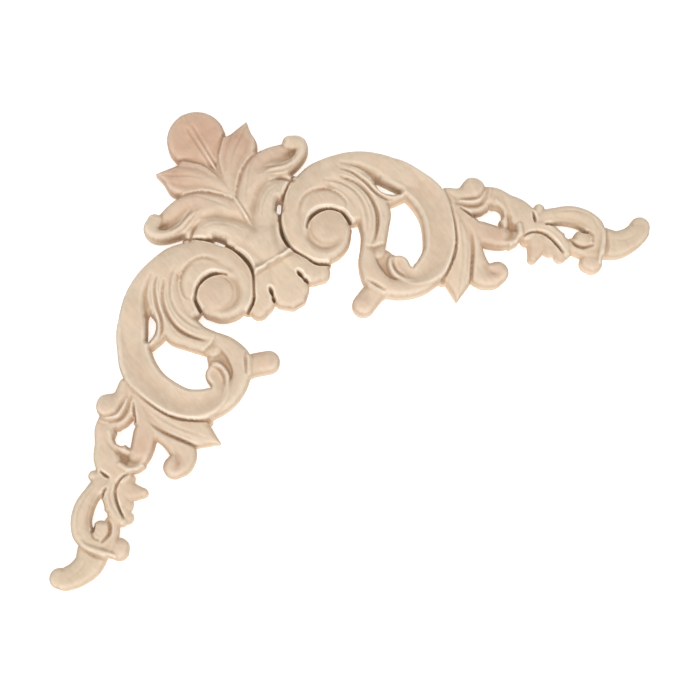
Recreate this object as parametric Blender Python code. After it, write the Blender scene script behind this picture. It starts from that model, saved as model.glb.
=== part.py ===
"""Carved wooden corner onlay: an acanthus palmette between two scrolled arms.

It lies flat on its back, arms along +X and -Y, carved face up. The origin is on the back,
under the solid hub between the two volutes. Plan numbers are in millimetres.
"""

import bpy
import bmesh
import numpy as np
from mathutils import kdtree

# Driving dimensions, in millimetres
MM = 0.001
LEG = 150.0          # each arm, from the outer corner to the end of its tail
EDGE = 3.4           # thickness at the outline, where the rounded shoulder ends
SHOULDER = 1.7       # width of the rounded shoulder inside the outline
FLANK = 4.5          # fall of a form's side beyond its own edge, per millimetre
CUT_WALL = 16.0      # rise of a sunk channel's sides, per millimetre
GROOVE_SPREAD = 1.5  # reach of a carved line's sides, as a share of its half width
SPAN_STEPS = 8       # points read from the smooth curve between two stations
FLOOR = 0.8          # least thickness left under a deep groove
GRID = 0.5           # spacing of the grid that the face is first read on
ORIGIN = 35.0        # the origin lies this far from both outer sides of the square
FACE_TRIANGLES = 7000
SHARP = 0.9          # edges that turn more than this, in radians, are shaded sharp
WOOD_COLOUR = (0.76, 0.58, 0.41, 1.0)


def rounded(u):
    """A full, convex section."""
    return (1.0 - u * u) ** 0.7


def flattened(u):
    """A nearly flat top with eased shoulders."""
    return (1.0 - u ** 4) ** 0.8


def dished(u):
    """A hollow face between two raised rims."""
    return (1.0 - u ** 8) ** 0.8 * (1.0 - 0.8 * (1.0 - u * u) ** 1.5)


# A form is (kind, section, drop, lean, flat ends, stations).
# A station is (a, b, half width, level): a runs along the arm and b across it, both from the
# outer corner of the square. Drop is how far a form's edges lie below the crest of its section.
def raised(section, stations, drop=1.6, lean=0.0, flat=False):
    return ("raised", section, drop, lean, flat, np.array(stations, float))


def cut(stations):
    """A channel sunk to its stations' levels."""
    return ("cut", None, 0.0, 0.0, False, np.array(stations, float))


def groove(stations):
    """A line carved to its stations' depths below the face that it crosses."""
    return ("groove", None, 0.0, 0.0, False, np.array(stations, float))


def stepped(stations):
    """An edge that overlaps the wood on its left, which is sunk there by the stations' depths."""
    return ("stepped", None, 0.0, 0.0, False, np.array(stations, float))


def pierced(stations):
    """An opening right through, as wide as its stations; their levels are not used."""
    return ("pierced", None, 0.0, 0.0, False, np.array(stations, float))


# Low wood that closes the bottoms of the deep grooves
BED = [
    raised(flattened, [(37.4, 12.8, 2.2, 6.8), (37.8, 16.4, 2.6, 7.2)], drop=0.6),
    raised(flattened, [(40.6, 13.6, 0.9, 3.2), (39.4, 17, 2.0, 3.2), (38.9, 23.5, 2.2, 3.2),
                       (40, 28, 2.2, 3.2), (41.7, 32, 2.2, 3.2), (44.5, 35.2, 2.4, 3.2),
                       (50, 37.0, 2.4, 3.2), (56.2, 37.0, 1.8, 3.2)], drop=0.2),
    raised(flattened, [(51.5, 24.5, 5.4, 3.2), (54.5, 27.0, 6.6, 3.2)], drop=0.2),
    raised(flattened, [(57.0, 22.0, 3.0, 3.2), (59.8, 22.0, 2.0, 3.2)], drop=0.2),
    raised(flattened, [(48.0, 16.0, 3.6, 7.4), (58.0, 15.4, 3.6, 7.4)], drop=0.2),
    raised(flattened, [(89.4, 12, 1.4, 3.6), (92.0, 17, 1.8, 3.6), (93.2, 23, 2.2, 3.6),
                       (93.0, 29, 2.0, 3.6), (91.8, 33.6, 1.4, 3.6)], drop=0.2),
    raised(flattened, [(96.5, 7.5, 3.0, 3.2), (95.0, 10.5, 2.0, 3.2), (93.5, 11.6, 1.4, 3.2)],
           drop=0.2),
    raised(flattened, [(114.6, 8.0, 2.2, 3.0), (115.0, 13.0, 2.2, 3.0), (120, 14.4, 2.6, 3.0),
                       (124.4, 15.8, 2.2, 3.0)], drop=0.2),
    raised(flattened, [(112.6, 7.2, 2.2, 4.6), (117.6, 7.2, 2.4, 4.6)], drop=0.2),
]

SCROLL = [
    raised(flattened, [(51.5, 9.4, 5.0, 8.8), (55.6, 6.8, 4.9, 8.6), (60.6, 4.8, 4.5, 8.4),
                       (66.5, 4.3, 4.3, 8.2), (71.5, 5.2, 4.2, 7.8), (76.6, 7.4, 3.6, 7.2),
                       (81.0, 10.6, 2.2, 6.5)], drop=1.2),
    raised(dished, [(66.5, 4.4, 4.2, 8.2), (71, 5.0, 4.7, 8.4), (76, 6.8, 5.0, 8.4),
                    (81.3, 9.7, 5.4, 8.4), (85.3, 14.7, 5.0, 8.4), (87.8, 20.5, 5.0, 8.4),
                    (88.6, 26, 4.8, 8.2), (87.1, 31.2, 4.5, 8.0), (83.8, 34.5, 3.6, 7.8),
                    (80.6, 34.6, 2.9, 7.4), (77.9, 32.6, 3.3, 7.4)], drop=1.9),
    raised(rounded, [(87, 7.4, 1.8, 6.6), (90.5, 10.8, 1.6, 6.6), (92.6, 16, 1.0, 6.2)]),
]

VOLUTE = [
    raised(rounded, [(55.6, 6.8, 4.7, 8.6), (52.2, 8.5, 4.7, 8.8), (47.6, 12.4, 4.9, 9.0),
                     (44.6, 18, 4.8, 9.0), (44.0, 23.4, 4.5, 9.0), (44.9, 28, 4.2, 9.0),
                     (47.4, 32, 3.8, 8.8), (50.9, 33.9, 3.4, 8.6), (54.6, 34.1, 3.1, 8.4),
                     (57.6, 32.6, 2.8, 8.2), (59.4, 29.6, 2.5, 8.0), (59.4, 26, 2.3, 7.8)],
           drop=1.9, lean=0.35),
    raised(flattened, [(46.8, 28.5, 1.6, 8.4), (46.4, 23.5, 2.4, 8.8), (48.8, 19.6, 3.0, 8.8),
                       (53.4, 18.0, 3.2, 8.8), (58, 19.2, 2.8, 8.4), (61, 21.4, 2.2, 7.8)],
           drop=1.0),
    raised(rounded, [(54.9, 27.0, 6.2, 8.8), (55.1, 27.0, 6.2, 8.8)], drop=1.8),
    groove([(48.9, 28.6, 0.8, 0.4), (49.7, 31.2, 1.4, 1.5), (52.4, 33.0, 1.5, 1.8),
            (55.6, 32.9, 1.5, 1.7), (58.4, 30.8, 1.3, 1.1), (59.8, 27.8, 0.8, 0.2)]),
    cut([(48.3, 28.6, 0.2, 6.8), (48.2, 26.6, 0.3, 5.4), (48.9, 24.2, 0.6, 3.4),
         (50.8, 22.1, 0.55, 3.0), (53.6, 20.9, 0.3, 4.2), (56.2, 20.9, 0.3, 4.2),
         (58.0, 21.3, 0.5, 2.8), (60.4, 23.3, 0.6, 2.0)]),
    stepped([(58.6, 20.2, 1.0, 0.2), (58.0, 17.9, 1.6, 1.0), (55.8, 16.2, 1.8, 1.3),
             (52.8, 15.3, 1.8, 1.3), (49.6, 15.7, 1.8, 1.3), (46.8, 17.3, 1.8, 1.3),
             (45.0, 19.6, 1.8, 1.1), (44.4, 22.6, 1.6, 0.7), (44.6, 25.6, 1.4, 0.2)]),
    groove([(44.6, 20.5, 0.8, 0.2), (45.4, 25.0, 1.6, 0.7), (46.6, 29.2, 1.6, 0.7),
            (49.0, 31.8, 1.0, 0.3)]),
    cut([(40.2, 14.4, 0.2, 6.0), (39.3, 19.0, 0.3, 4.0), (39.0, 23.5, 0.5, 2.4),
         (39.9, 28, 0.35, 3.6), (41.6, 32, 0.6, 2.0), (44.0, 34.8, 0.5, 2.4),
         (46.6, 36.2, 0.25, 3.8), (50, 37.2, 0.2, 4.2), (53.6, 38.0, 0.45, 2.2),
         (57.4, 37.2, 0.4, 2.0)]),
    pierced([(38.3, 22.4, 0.65, 0), (38.7, 24.9, 0.7, 0)]),
]

FRONDS = [
    raised(rounded, [(53, 7.0, 0.6, 8.6), (58, 7.6, 1.2, 8.5), (62.4, 9.4, 1.7, 8.2),
                     (66, 12.2, 1.8, 7.8), (70, 13.3, 1.9, 7.4), (74.0, 11.6, 1.1, 7.0)], drop=0.9),
    raised(rounded, [(52.5, 9.4, 1.0, 8.8), (58, 9.9, 1.6, 8.7), (62, 11.6, 2.0, 8.4),
                     (66, 14.6, 2.4, 8.0), (69.2, 17.4, 2.6, 7.6), (70.0, 22, 2.4, 7.4),
                     (70.4, 27, 2.3, 7.0), (70.4, 30, 2.4, 6.6)], drop=1.0),
    raised(rounded, [(52.5, 12.8, 1.6, 8.8), (57, 13.4, 2.4, 8.8), (61.4, 15.4, 3.2, 8.6),
                     (64.8, 19.4, 3.6, 8.2), (66.8, 24.5, 2.6, 7.8), (67.4, 29, 2.2, 7.4),
                     (68.4, 34.0, 2.6, 7.4), (71.6, 38.4, 3.2, 7.4), (76.4, 40.0, 2.6, 7.2),
                     (81.4, 39.2, 2.5, 7.0), (85.9, 37.0, 2.3, 6.8), (89.5, 34.1, 1.6, 6.4)], drop=1.1),
    raised(rounded, [(74.8, 39.8, 3.0, 6.6), (72.3, 42.5, 3.4, 6.2), (70.3, 46.7, 3.4, 6.6)]),
    raised(flattened, [(73.0, 31.6, 3.0, 5.0), (75.0, 33.4, 3.9, 4.6), (78.0, 37.2, 3.0, 5.0),
                       (84.0, 37.0, 2.4, 5.6)], drop=0.4),
    groove([(53.8, 6.6, 0.5, 0.5), (58.8, 6.3, 0.8, 1.4), (62.6, 7.2, 1.1, 2.2),
            (65.6, 8.4, 1.2, 2.6)]),
    groove([(54.0, 8.4, 0.4, 0.7), (57.0, 8.5, 0.5, 1.4), (60.0, 9.6, 0.55, 1.8),
            (62.6, 10.8, 0.6, 2.0), (65, 12.3, 0.6, 2.2), (67.4, 13.4, 0.6, 2.0),
            (70.0, 13.9, 0.5, 1.5), (72.2, 13.6, 0.4, 0.4)]),
    groove([(54.6, 10.8, 0.4, 0.7), (58.8, 11.3, 0.5, 1.5), (62.0, 12.7, 0.55, 1.8),
            (65.2, 15.2, 0.6, 2.2), (67.4, 18.2, 0.65, 2.5), (68.6, 21.6, 0.65, 2.4),
            (69.0, 25.6, 0.5, 1.4), (68.6, 28.4, 0.4, 0.5)]),
    groove([(50.0, 13.1, 0.4, 0.3), (53.4, 12.6, 0.45, 0.9), (57.4, 13.2, 0.45, 1.0),
            (60.6, 14.8, 0.45, 1.0), (63.4, 17.6, 0.45, 0.9), (65.2, 21.4, 0.45, 0.7),
            (66.0, 25.0, 0.4, 0.2)]),
    stepped([(72.6, 26.6, 3.4, 1.9), (71.2, 27.8, 3.6, 1.9), (69.4, 28.9, 3.2, 1.6),
             (67.6, 29.4, 2.2, 0.8), (66.2, 29.4, 1.2, 0.2)]),
    groove([(69.6, 39.5, 0.4, 0.8), (72.4, 40.3, 0.5, 1.7), (75.4, 41.2, 0.4, 0.9)]),
    raised(rounded, [(75.0, 30.2, 0.3, 5.6), (75.0, 32.0, 0.6, 7.2), (75.7, 34.0, 0.6, 7.2),
                     (77.6, 35.9, 0.6, 7.2), (80.4, 36.6, 0.5, 7.0), (83.4, 36.2, 0.4, 6.8)], drop=0.8),
    groove([(75.8, 30.6, 0.4, 0.6), (76.3, 33.0, 0.45, 1.5), (77.9, 34.7, 0.45, 1.5),
            (80.0, 35.5, 0.4, 0.8)]),
    pierced([(65.5, 9.6, 0.3, 0), (67.6, 10.3, 1.15, 0), (70.4, 10.6, 1.0, 0),
             (72.9, 10.4, 0.3, 0)]),
]

PALMETTE = [
    raised(flattened, [(9.1, 9.1, 9.0, 6.4), (11.4, 11.4, 8.4, 6.8), (13.4, 13.4, 6.6, 7.2),
                       (16, 16, 4.8, 7.6), (19.5, 19.5, 3.4, 8.0), (24, 24, 2.2, 8.4)], drop=1.0),
    groove([(16.4, 4.6, 1.4, 0.4), (16.0, 8, 2.0, 0.7), (15.6, 12.5, 2.0, 0.9), (17.6, 16.6, 1.6, 0.9),
            (19.8, 19.6, 0.9, 0.5)]),
    groove([(7.0, 5.7, 0.35, 0.5), (10.8, 9.6, 0.35, 0.7), (14.9, 13.8, 0.4, 0.9),
            (17.9, 16.8, 0.5, 1.7), (20.2, 19.2, 0.4, 1.0)]),
    raised(flattened, [(22.4, -0.1, 0.2, 4.8), (22.3, 3.0, 2.4, 5.8), (22.4, 6.4, 5.2, 6.8),
                    (21.8, 9.4, 5.6, 7.6), (21.0, 12.5, 4.6, 8.0), (21.6, 16, 4.0, 8.4),
                    (23.0, 20, 3.0, 8.8), (25.2, 25, 1.6, 9.0)], drop=1.5, lean=0.35),
    stepped([(20.2, 19.4, 0.7, 0.3), (18.5, 16.6, 1.3, 0.9), (17.0, 13.0, 1.5, 1.1),
             (16.9, 9.0, 1.5, 1.3), (17.1, 6.0, 1.3, 1.8), (17.4, 4.6, 1.0, 2.0)]),
    groove([(19.2, 4.9, 0.6, 0.3), (18.8, 9.0, 1.0, 0.5), (18.8, 13.0, 1.0, 0.5), (20.2, 17.0, 0.6, 0.2)]),
    groove([(24.6, 4.6, 0.8, 0.2), (24.6, 9.6, 1.6, 0.7), (23.6, 14.0, 1.6, 0.8), (23.6, 19.0, 1.2, 0.7),
            (24.4, 22.6, 0.8, 0.4)]),
    raised(flattened, [(37.3, 5.9, 3.3, 5.2), (33.8, 10.0, 5.1, 7.2), (31.0, 14.6, 6.2, 8.6),
                       (30.8, 20, 6.3, 9.2), (32.0, 26, 6.2, 9.8), (35, 33, 5.0, 10.2)], drop=1.3),
    stepped([(28.6, 8.0, 1.8, 1.0), (27.0, 10.2, 2.2, 1.5), (25.2, 14.4, 2.2, 1.6),
             (24.8, 20.0, 2.0, 1.5), (25.4, 24.6, 1.2, 1.0), (26.6, 26.6, 0.6, 0.2)]),
    raised(rounded, [(36.8, 3.1, 2.3, 7.4), (39.5, 2.9, 2.5, 7.8), (41.0, 5.0, 1.9, 7.8),
                     (40.2, 8.4, 1.6, 7.8), (37.6, 11.6, 1.9, 8.4), (34.0, 14.0, 1.8, 8.9),
                     (30.8, 16.4, 1.2, 9.0)], drop=1.6),
    raised(rounded, [(39.0, 16.8, 1.6, 8.0), (36.0, 19.4, 2.4, 9.5), (34.8, 24.5, 2.8, 10.1),
                     (35.4, 30.0, 3.4, 10.2), (38.0, 35.0, 3.4, 10.2)], drop=1.2),
    groove([(37.9, 6.8, 1.5, 0.8), (35.6, 8.9, 2.0, 0.9), (32.4, 11.0, 2.0, 0.7), (29.8, 14.6, 1.6, 0.3)]),
    groove([(36.4, 7.2, 0.8, 0.3), (38.2, 6.4, 0.9, 1.1), (39.2, 5.4, 0.6, 0.5)]),
    groove([(34.0, 17.4, 0.3, 0.4), (35.4, 16.4, 0.4, 1.0), (37.4, 15.4, 0.5, 1.5), (40.8, 15.2, 0.6, 1.7)]),
    groove([(33.2, 17.0, 1.0, 0.6), (31.6, 21.0, 1.7, 1.3), (31.3, 25.0, 1.8, 1.1),
            (31.4, 28.0, 1.4, 0.3)]),
]

NECK = [
    raised(rounded, [(30.0, 30.0, 2.6, 8.6), (32.4, 32.4, 5.2, 9.8), (34.4, 34.4, 7.6, 10.8),
                     (36.6, 36.6, 7.2, 11.0), (40.6, 40.6, 6.2, 9.8)], drop=3.0, flat=True),
    groove([(31.4, 25.0, 1.4, 0.4), (31.2, 28.0, 1.8, 1.2), (31.8, 30.6, 1.8, 1.4),
            (33.2, 33.2, 1.3, 0.6)]),
    groove([(38.2, 27.0, 0.8, 0.2), (38.8, 30.6, 1.3, 0.9), (40.4, 34.4, 1.3, 0.9),
            (42.0, 37.4, 1.0, 0.3)]),
    raised(flattened, [(41, 41, 4.4, 8.8), (45.6, 45.6, 4.8, 7.4), (49.0, 49.0, 5.7, 6.4),
                       (50.9, 50.9, 3.4, 5.6), (51.7, 51.7, 1.9, 5.2)], drop=1.0, flat=True),
    raised(rounded, [(43.5, 38.8, 2.2, 9.0), (48, 39.9, 3.1, 8.2), (52.5, 40.8, 3.6, 7.0),
                     (55.4, 40.2, 3.0, 6.0)], drop=1.4),
    raised(rounded, [(40.9, 40.9, 0.45, 10.5), (41.9, 39.6, 0.4, 10.4), (43.4, 38.6, 0.6, 10.8),
                     (45.0, 36.6, 0.65, 10.5)], drop=1.4),
    groove([(41.9, 41.7, 0.4, 0.5), (44.2, 39.2, 0.4, 0.6), (46.2, 37.3, 0.4, 0.6)]),
    cut([(48.9, 42.0, 0.35, 2.4), (49.7, 42.5, 0.6, 1.4), (50.7, 43.2, 0.35, 2.8),
         (51.6, 43.7, 0.6, 1.4), (52.4, 44.1, 0.35, 2.2)]),
    raised(rounded, [(25.0, 25.0, 0.5, 9.4), (27.4, 27.4, 0.6, 10.2), (30.0, 30.0, 0.4, 10.4)], drop=0.8),
    groove([(27.0, 26.0, 0.35, 0.3), (30.6, 29.4, 0.35, 0.6), (31.2, 30.6, 0.35, 0.5)]),
]

HUSK = [
    raised(rounded, [(89.6, 10.6, 0.9, 6.8), (92.6, 16, 1.9, 6.8), (95.2, 21.5, 2.7, 6.6),
                     (96.2, 26.5, 3.3, 6.4), (96.2, 32.0, 4.3, 6.0), (97.4, 38.6, 0.3, 4.4)],
           drop=1.5),
    raised(rounded, [(91.5, 11.4, 0.8, 6.8), (95.6, 15.2, 1.7, 6.6), (98.8, 20, 2.0, 6.4),
                     (100.4, 25, 2.4, 6.2)], drop=1.1),
    raised(rounded, [(92.5, 11.6, 0.9, 6.6), (97.2, 15.8, 2.0, 6.4), (99.4, 21.5, 1.9, 6.2),
                     (102.0, 28.0, 4.0, 6.0), (105.6, 29.0, 3.6, 6.0), (107.4, 27.4, 3.2, 6.2)],
           drop=1.4),
    raised(rounded, [(106.6, 27.8, 3.4, 6.6), (107.4, 27.3, 3.4, 6.6)], drop=1.6),
    groove([(103.4, 26.6, 1.2, 0.5), (105.6, 28.0, 1.7, 1.4), (107.2, 28.0, 1.5, 1.0)]),
    cut([(88.6, 10.4, 0.2, 6.4), (91.2, 15.8, 0.3, 5.6), (93.0, 21.0, 0.35, 4.6),
         (93.4, 25.6, 0.4, 4.0), (92.7, 30.6, 0.35, 4.0), (91.4, 34.8, 0.3, 4.0)]),
    groove([(93.6, 13.4, 0.4, 0.4), (96.6, 17.4, 0.5, 1.1), (98.4, 22.0, 0.6, 1.9),
            (99.3, 27.0, 0.6, 2.4), (100.1, 32.2, 0.6, 2.2)]),
    groove([(92.6, 15.0, 0.4, 0.2), (94.8, 20.6, 0.5, 0.5), (96.2, 26.0, 0.5, 0.5),
            (96.8, 32.0, 0.4, 0.3), (97.2, 36.6, 0.3, 0.1)]),
]

KNOB = [
    raised(flattened, [(91.0, 11.4, 1.4, 6.8), (95.8, 14.4, 2.4, 6.6), (100.5, 16.4, 3.5, 6.4),
                       (105.6, 16.6, 3.3, 6.4), (109.4, 16.0, 2.4, 6.2)], drop=1.3),
    raised(flattened, [(104.5, 9.0, 2.0, 5.4), (108.0, 10.4, 3.6, 4.6), (108.6, 14.0, 3.2, 4.6)],
           drop=0.4),
    raised(flattened, [(97.6, 5.2, 3.0, 6.0), (101.4, 4.8, 3.2, 6.4), (105.2, 5.9, 3.3, 6.2),
                       (109.2, 7.2, 3.9, 6.0), (112.4, 9.4, 3.7, 5.8), (113.4, 13.0, 2.6, 5.4)],
           drop=0.8),
    raised(rounded, [(102.0, 6.0, 1.2, 6.7), (104.2, 8.8, 1.4, 6.5), (105.8, 11.6, 1.3, 6.2),
                     (106.6, 14.2, 0.9, 5.6)], drop=1.0),
    raised(rounded, [(110.6, 11.6, 0.8, 6.4), (111.3, 14.0, 0.9, 6.6), (110.8, 16.4, 0.9, 6.4),
                     (109.2, 18.2, 0.9, 6.0)], drop=0.8),
    groove([(107.4, 10.2, 1.1, 0.8), (108.4, 12.8, 1.7, 2.0), (108.8, 15.4, 1.6, 1.9),
            (107.8, 17.2, 1.1, 0.8)]),
    groove([(103.8, 5.0, 0.7, 0.3), (105.9, 7.8, 0.8, 0.7), (107.2, 10.2, 0.8, 0.9)]),
    raised(rounded, [(89.4, 9.8, 1.4, 6.6), (95.0, 10.4, 1.7, 6.2), (98.8, 8.4, 1.9, 5.8)],
           drop=1.0),
    raised(rounded, [(87.0, 6.9, 1.8, 6.8), (91.2, 6.6, 2.5, 6.8), (94.4, 4.3, 4.1, 7.6)],
           drop=1.6),
    groove([(97.2, 1.0, 0.5, 0.8), (97.8, 3.8, 0.6, 1.0), (96.4, 6.4, 0.7, 1.2),
            (93.8, 7.6, 0.7, 1.0), (91.2, 8.0, 0.5, 0.3)]),
    raised(rounded, [(98.2, 4.4, 0.5, 6.6), (97.0, 7.2, 0.7, 7.0),
                     (94.4, 8.5, 0.7, 7.0), (91.4, 8.9, 0.5, 6.8)], drop=0.9),
    groove([(90.4, 9.8, 0.5, 0.5), (94.0, 9.7, 0.8, 1.4), (97.2, 8.6, 0.8, 1.4),
            (99.0, 5.8, 0.5, 0.6)]),
    cut([(92.0, 11.0, 0.3, 5.6), (95.0, 12.0, 0.4, 3.8), (97.2, 12.7, 0.5, 3.2)]),
    pierced([(98.6, 12.5, 0.6, 0), (100.9, 11.0, 1.9, 0), (102.8, 10.1, 2.2, 0)]),
]

TAIL = [
    raised(rounded, [(113.6, 14.2, 1.8, 4.6), (113.8, 15.2, 1.7, 4.2)], drop=0.8),
    raised(rounded, [(116.8, 14.0, 3.0, 4.8), (117.3, 17.0, 2.7, 4.6), (116.9, 20.2, 1.5, 4.2)], drop=0.9),
    raised(rounded, [(120.6, 13.8, 3.0, 4.8), (121.4, 15.8, 2.5, 4.2)], drop=0.8),
    raised(rounded, [(124.0, 15.4, 2.2, 4.6), (125.0, 17.4, 2.0, 4.0)], drop=0.8),
    raised(rounded, [(115.5, 5.0, 1.7, 5.6), (115.2, 7.8, 1.5, 5.0)], drop=1.2),
    raised(flattened, [(116.2, 10.0, 2.2, 5.2), (117.8, 7.4, 2.6, 5.6), (120.8, 5.7, 2.5, 5.8),
                       (125.2, 4.5, 2.9, 6.2), (129.9, 4.8, 3.0, 6.2), (133.3, 7.1, 3.2, 6.0),
                       (133.7, 11.2, 2.8, 5.6), (131.0, 13.6, 2.6, 5.2)], drop=1.1),
    raised(rounded, [(114.8, 10.5, 1.5, 5.4), (118.4, 10.0, 1.9, 5.8), (121.8, 10.8, 1.9, 5.8),
                     (124.6, 13.3, 1.9, 5.6), (126.6, 16.4, 1.3, 5.0)], drop=1.1),
    raised(flattened, [(127.6, 13.6, 2.2, 4.8), (131, 14.2, 2.2, 5.0), (134.4, 13.8, 2.8, 5.0)],
           drop=0.8),
    raised(rounded, [(129.9, 10.9, 2.4, 5.9), (130.6, 11.0, 2.4, 5.9)], drop=1.2),
    raised(rounded, [(133.9, 17.5, 2.8, 5.0), (135.0, 17.6, 2.9, 5.0)], drop=1.3),
    raised(flattened, [(136.6, 10.4, 4.7, 5.2), (140.8, 9.9, 4.2, 5.4), (144.2, 7.6, 3.7, 5.6),
                       (146.4, 4.7, 3.4, 5.6), (146.7, 3.0, 3.1, 5.4)], drop=1.0),
    raised(rounded, [(134.4, 5.6, 0.9, 6.0), (136.0, 8.2, 1.0, 6.5), (136.6, 12.4, 1.0, 6.4),
                     (136.8, 16.6, 0.9, 5.6)], drop=1.2),
    groove([(136.9, 7.4, 0.5, 0.5), (138.0, 11.0, 0.6, 0.9), (138.4, 14.8, 0.5, 0.6)]),
    cut([(112.2, 15.4, 0.2, 4.6), (113.6, 13.6, 0.3, 3.6), (115.6, 12.5, 0.3, 3.0),
         (118.2, 12.2, 0.3, 2.6), (121.2, 13.4, 0.35, 2.0), (123.6, 15.0, 0.35, 2.0),
         (125.4, 16.6, 0.25, 3.2)]),
    cut([(113.8, 6.6, 0.3, 4.0), (114.6, 8.2, 0.5, 2.8), (115.0, 9.4, 0.3, 4.0)]),
    groove([(118.4, 7.9, 0.8, 0.2), (122.0, 6.7, 1.1, 0.7), (126.6, 6.3, 1.2, 0.8),
            (130.4, 7.2, 1.2, 0.8), (132.4, 9.4, 0.9, 0.4)]),
    cut([(118.2, 9.4, 0.3, 4.4), (119.4, 9.1, 0.4, 3.0), (121.4, 8.8, 0.4, 2.4)]),
    cut([(128.4, 8.3, 0.5, 1.8), (129.8, 8.6, 0.7, 1.2), (131.2, 8.9, 0.4, 2.4)]),
    groove([(131.4, 8.6, 0.4, 1.2), (133.0, 9.6, 0.4, 0.9), (133.4, 11.2, 0.4, 0.8)]),
    groove([(126.9, 12.2, 0.4, 1.4), (128.6, 13.4, 0.55, 2.2), (131.0, 13.7, 0.6, 2.2),
            (133.6, 12.4, 0.4, 1.2)]),
    pierced([(121.9, 8.8, 0.45, 0), (124.2, 9.2, 1.2, 0), (126.0, 9.2, 1.25, 0)]),
    pierced([(125.0, 9.2, 1.0, 0), (125.5, 11.2, 0.5, 0)]),
]

FORMS = BED + SCROLL + VOLUTE[:3] + FRONDS + PALMETTE + NECK + VOLUTE[3:] + HUSK + KNOB + TAIL


def smooth_line(stations):
    """Stations read from a smooth curve through the given ones."""
    first = 2 * stations[0] - stations[1]
    last = 2 * stations[-1] - stations[-2]
    s = np.vstack([first, stations, last])
    t = np.linspace(0, 1, SPAN_STEPS, endpoint=False)[:, None]
    spans = []
    for i in range(1, len(s) - 2):
        p0, p1, p2, p3 = s[i - 1], s[i], s[i + 1], s[i + 2]
        spans.append(p1 + 0.5 * t * ((p2 - p0) + t * ((2 * p0 - 5 * p1 + 4 * p2 - p3)
                                                    + t * (3 * (p1 - p2) + p3 - p0))))
    line = np.vstack(spans + [stations[-1:]])
    line[:, 2] = np.maximum(line[:, 2], 0.05)
    return line


def measure(line, a, b):
    """For each plan point: distance, side, overrun past an end, half width and level."""
    start, step = line[:-1], np.diff(line, axis=0)
    length2 = (step[:, :2] ** 2).sum(1)
    da = a[:, None] - start[:, 0]
    db = b[:, None] - start[:, 1]
    t = ((da * step[:, 0] + db * step[:, 1]) / length2).clip(0, 1)
    far2 = (da - t * step[:, 0]) ** 2 + (db - t * step[:, 1]) ** 2
    near = far2.argmin(1)
    row = np.arange(len(a))
    t = t[row, near]
    here = start[near] + t[:, None] * step[near]
    way = step[near, :2] / np.sqrt(length2[near])[:, None]
    da, db = a - here[:, 0], b - here[:, 1]
    beyond = np.abs(da * way[:, 0] + db * way[:, 1])
    first, last = (near == 0) & (t == 0), (near == len(start) - 1) & (t == 1)
    beyond[~(first | last)] = 0.0
    side = np.sign(da * way[:, 1] - db * way[:, 0])
    return np.sqrt(far2[row, near]), side, beyond, here[:, 2], here[:, 3]


def carve(forms, a, b):
    """Signed distance inside the outline and height of the face, at plan points with a >= b."""
    inside = np.full(a.shape, -9.0)
    height = np.zeros(a.shape)
    for kind, section, drop, lean, flat, stations in forms:
        line = smooth_line(stations)
        reach = line[:, 2].max() + 2.0
        low, high = line[:, :2].min(0) - reach, line[:, :2].max(0) + reach
        near = (a > low[0]) & (a < high[0]) & (b > low[1]) & (b < high[1])
        if not near.any():
            continue
        off, side, beyond, half, level = measure(line, a[near], b[near])
        if kind == "pierced":
            inside[near] = np.minimum(inside[near], off - half)
            continue
        if kind == "groove":
            height[near] -= level * (1 - off / (GROOVE_SPREAD * half)).clip(0, 1) ** 1.5
            continue
        if kind == "stepped":
            sunk = level * (1 - off / half).clip(0, 1) ** 2
            height[near] -= np.where((side > 0) & (beyond == 0), sunk, 0)
            continue
        if kind == "cut":
            wall = level + CUT_WALL * np.maximum(off - 0.6 * half, 0)
            height[near] = np.minimum(height[near], wall)
            continue
        within = half - off
        if flat:
            across = np.sqrt(np.maximum(off ** 2 - beyond ** 2, 0))
            within = np.where(beyond > 1e-6, np.minimum(half - across, -beyond), within)
        u = side * (off / half).clip(0, 1)
        u = np.where(u > lean, (u - lean) / (1 - lean), (u - lean) / (1 + lean)).clip(-1, 1)
        face = level - drop * (1 - section(u))
        face = np.where(within < 0, level - drop + FLANK * within, face)
        height[near] = np.maximum(height[near], face)
        inside[near] = np.maximum(inside[near], within)
    return inside, height


def carved_field():
    """The grid marks, the inside distance and the sanded height; one half is mirrored."""
    marks = np.arange(-1.5, LEG + 1.5 + GRID / 2, GRID)
    a, b = np.meshgrid(marks, marks, indexing="ij")
    half = a >= b
    inside = np.full(a.shape, -9.0)
    height = np.zeros(a.shape)
    inside[half], height[half] = carve(FORMS, a[half], b[half])
    inside = np.where(half, inside, inside.T)
    height = np.where(half, height, height.T)
    inside = joined_to_hub(marks, inside)
    return marks, inside, sanded(inside, height)


def joined_to_hub(marks, inside):
    """Drops any crumb of wood that does not reach the hub."""
    wood = inside > 0
    hub = np.argmin(np.abs(marks - ORIGIN))
    reached = np.zeros_like(wood)
    reached[hub, hub] = True
    count = 0
    while reached.sum() > count:
        count = reached.sum()
        for axis in (0, 1):
            for shift in (-1, 1):
                reached |= np.roll(reached, shift, axis) & wood
    return np.where(wood & ~reached, -0.1, inside)


def sanded(inside, height):
    """Heights averaged with their neighbours in the wood, as sanding leaves them."""
    wood = (inside > 0).astype(float)
    total, weight = height * wood, wood
    for axis in (0, 1):
        total = 2 * total + np.roll(total, 1, axis) + np.roll(total, -1, axis)
        weight = 2 * weight + np.roll(weight, 1, axis) + np.roll(weight, -1, axis)
    return np.where(weight > 0, total / np.maximum(weight, 1), height)


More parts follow.
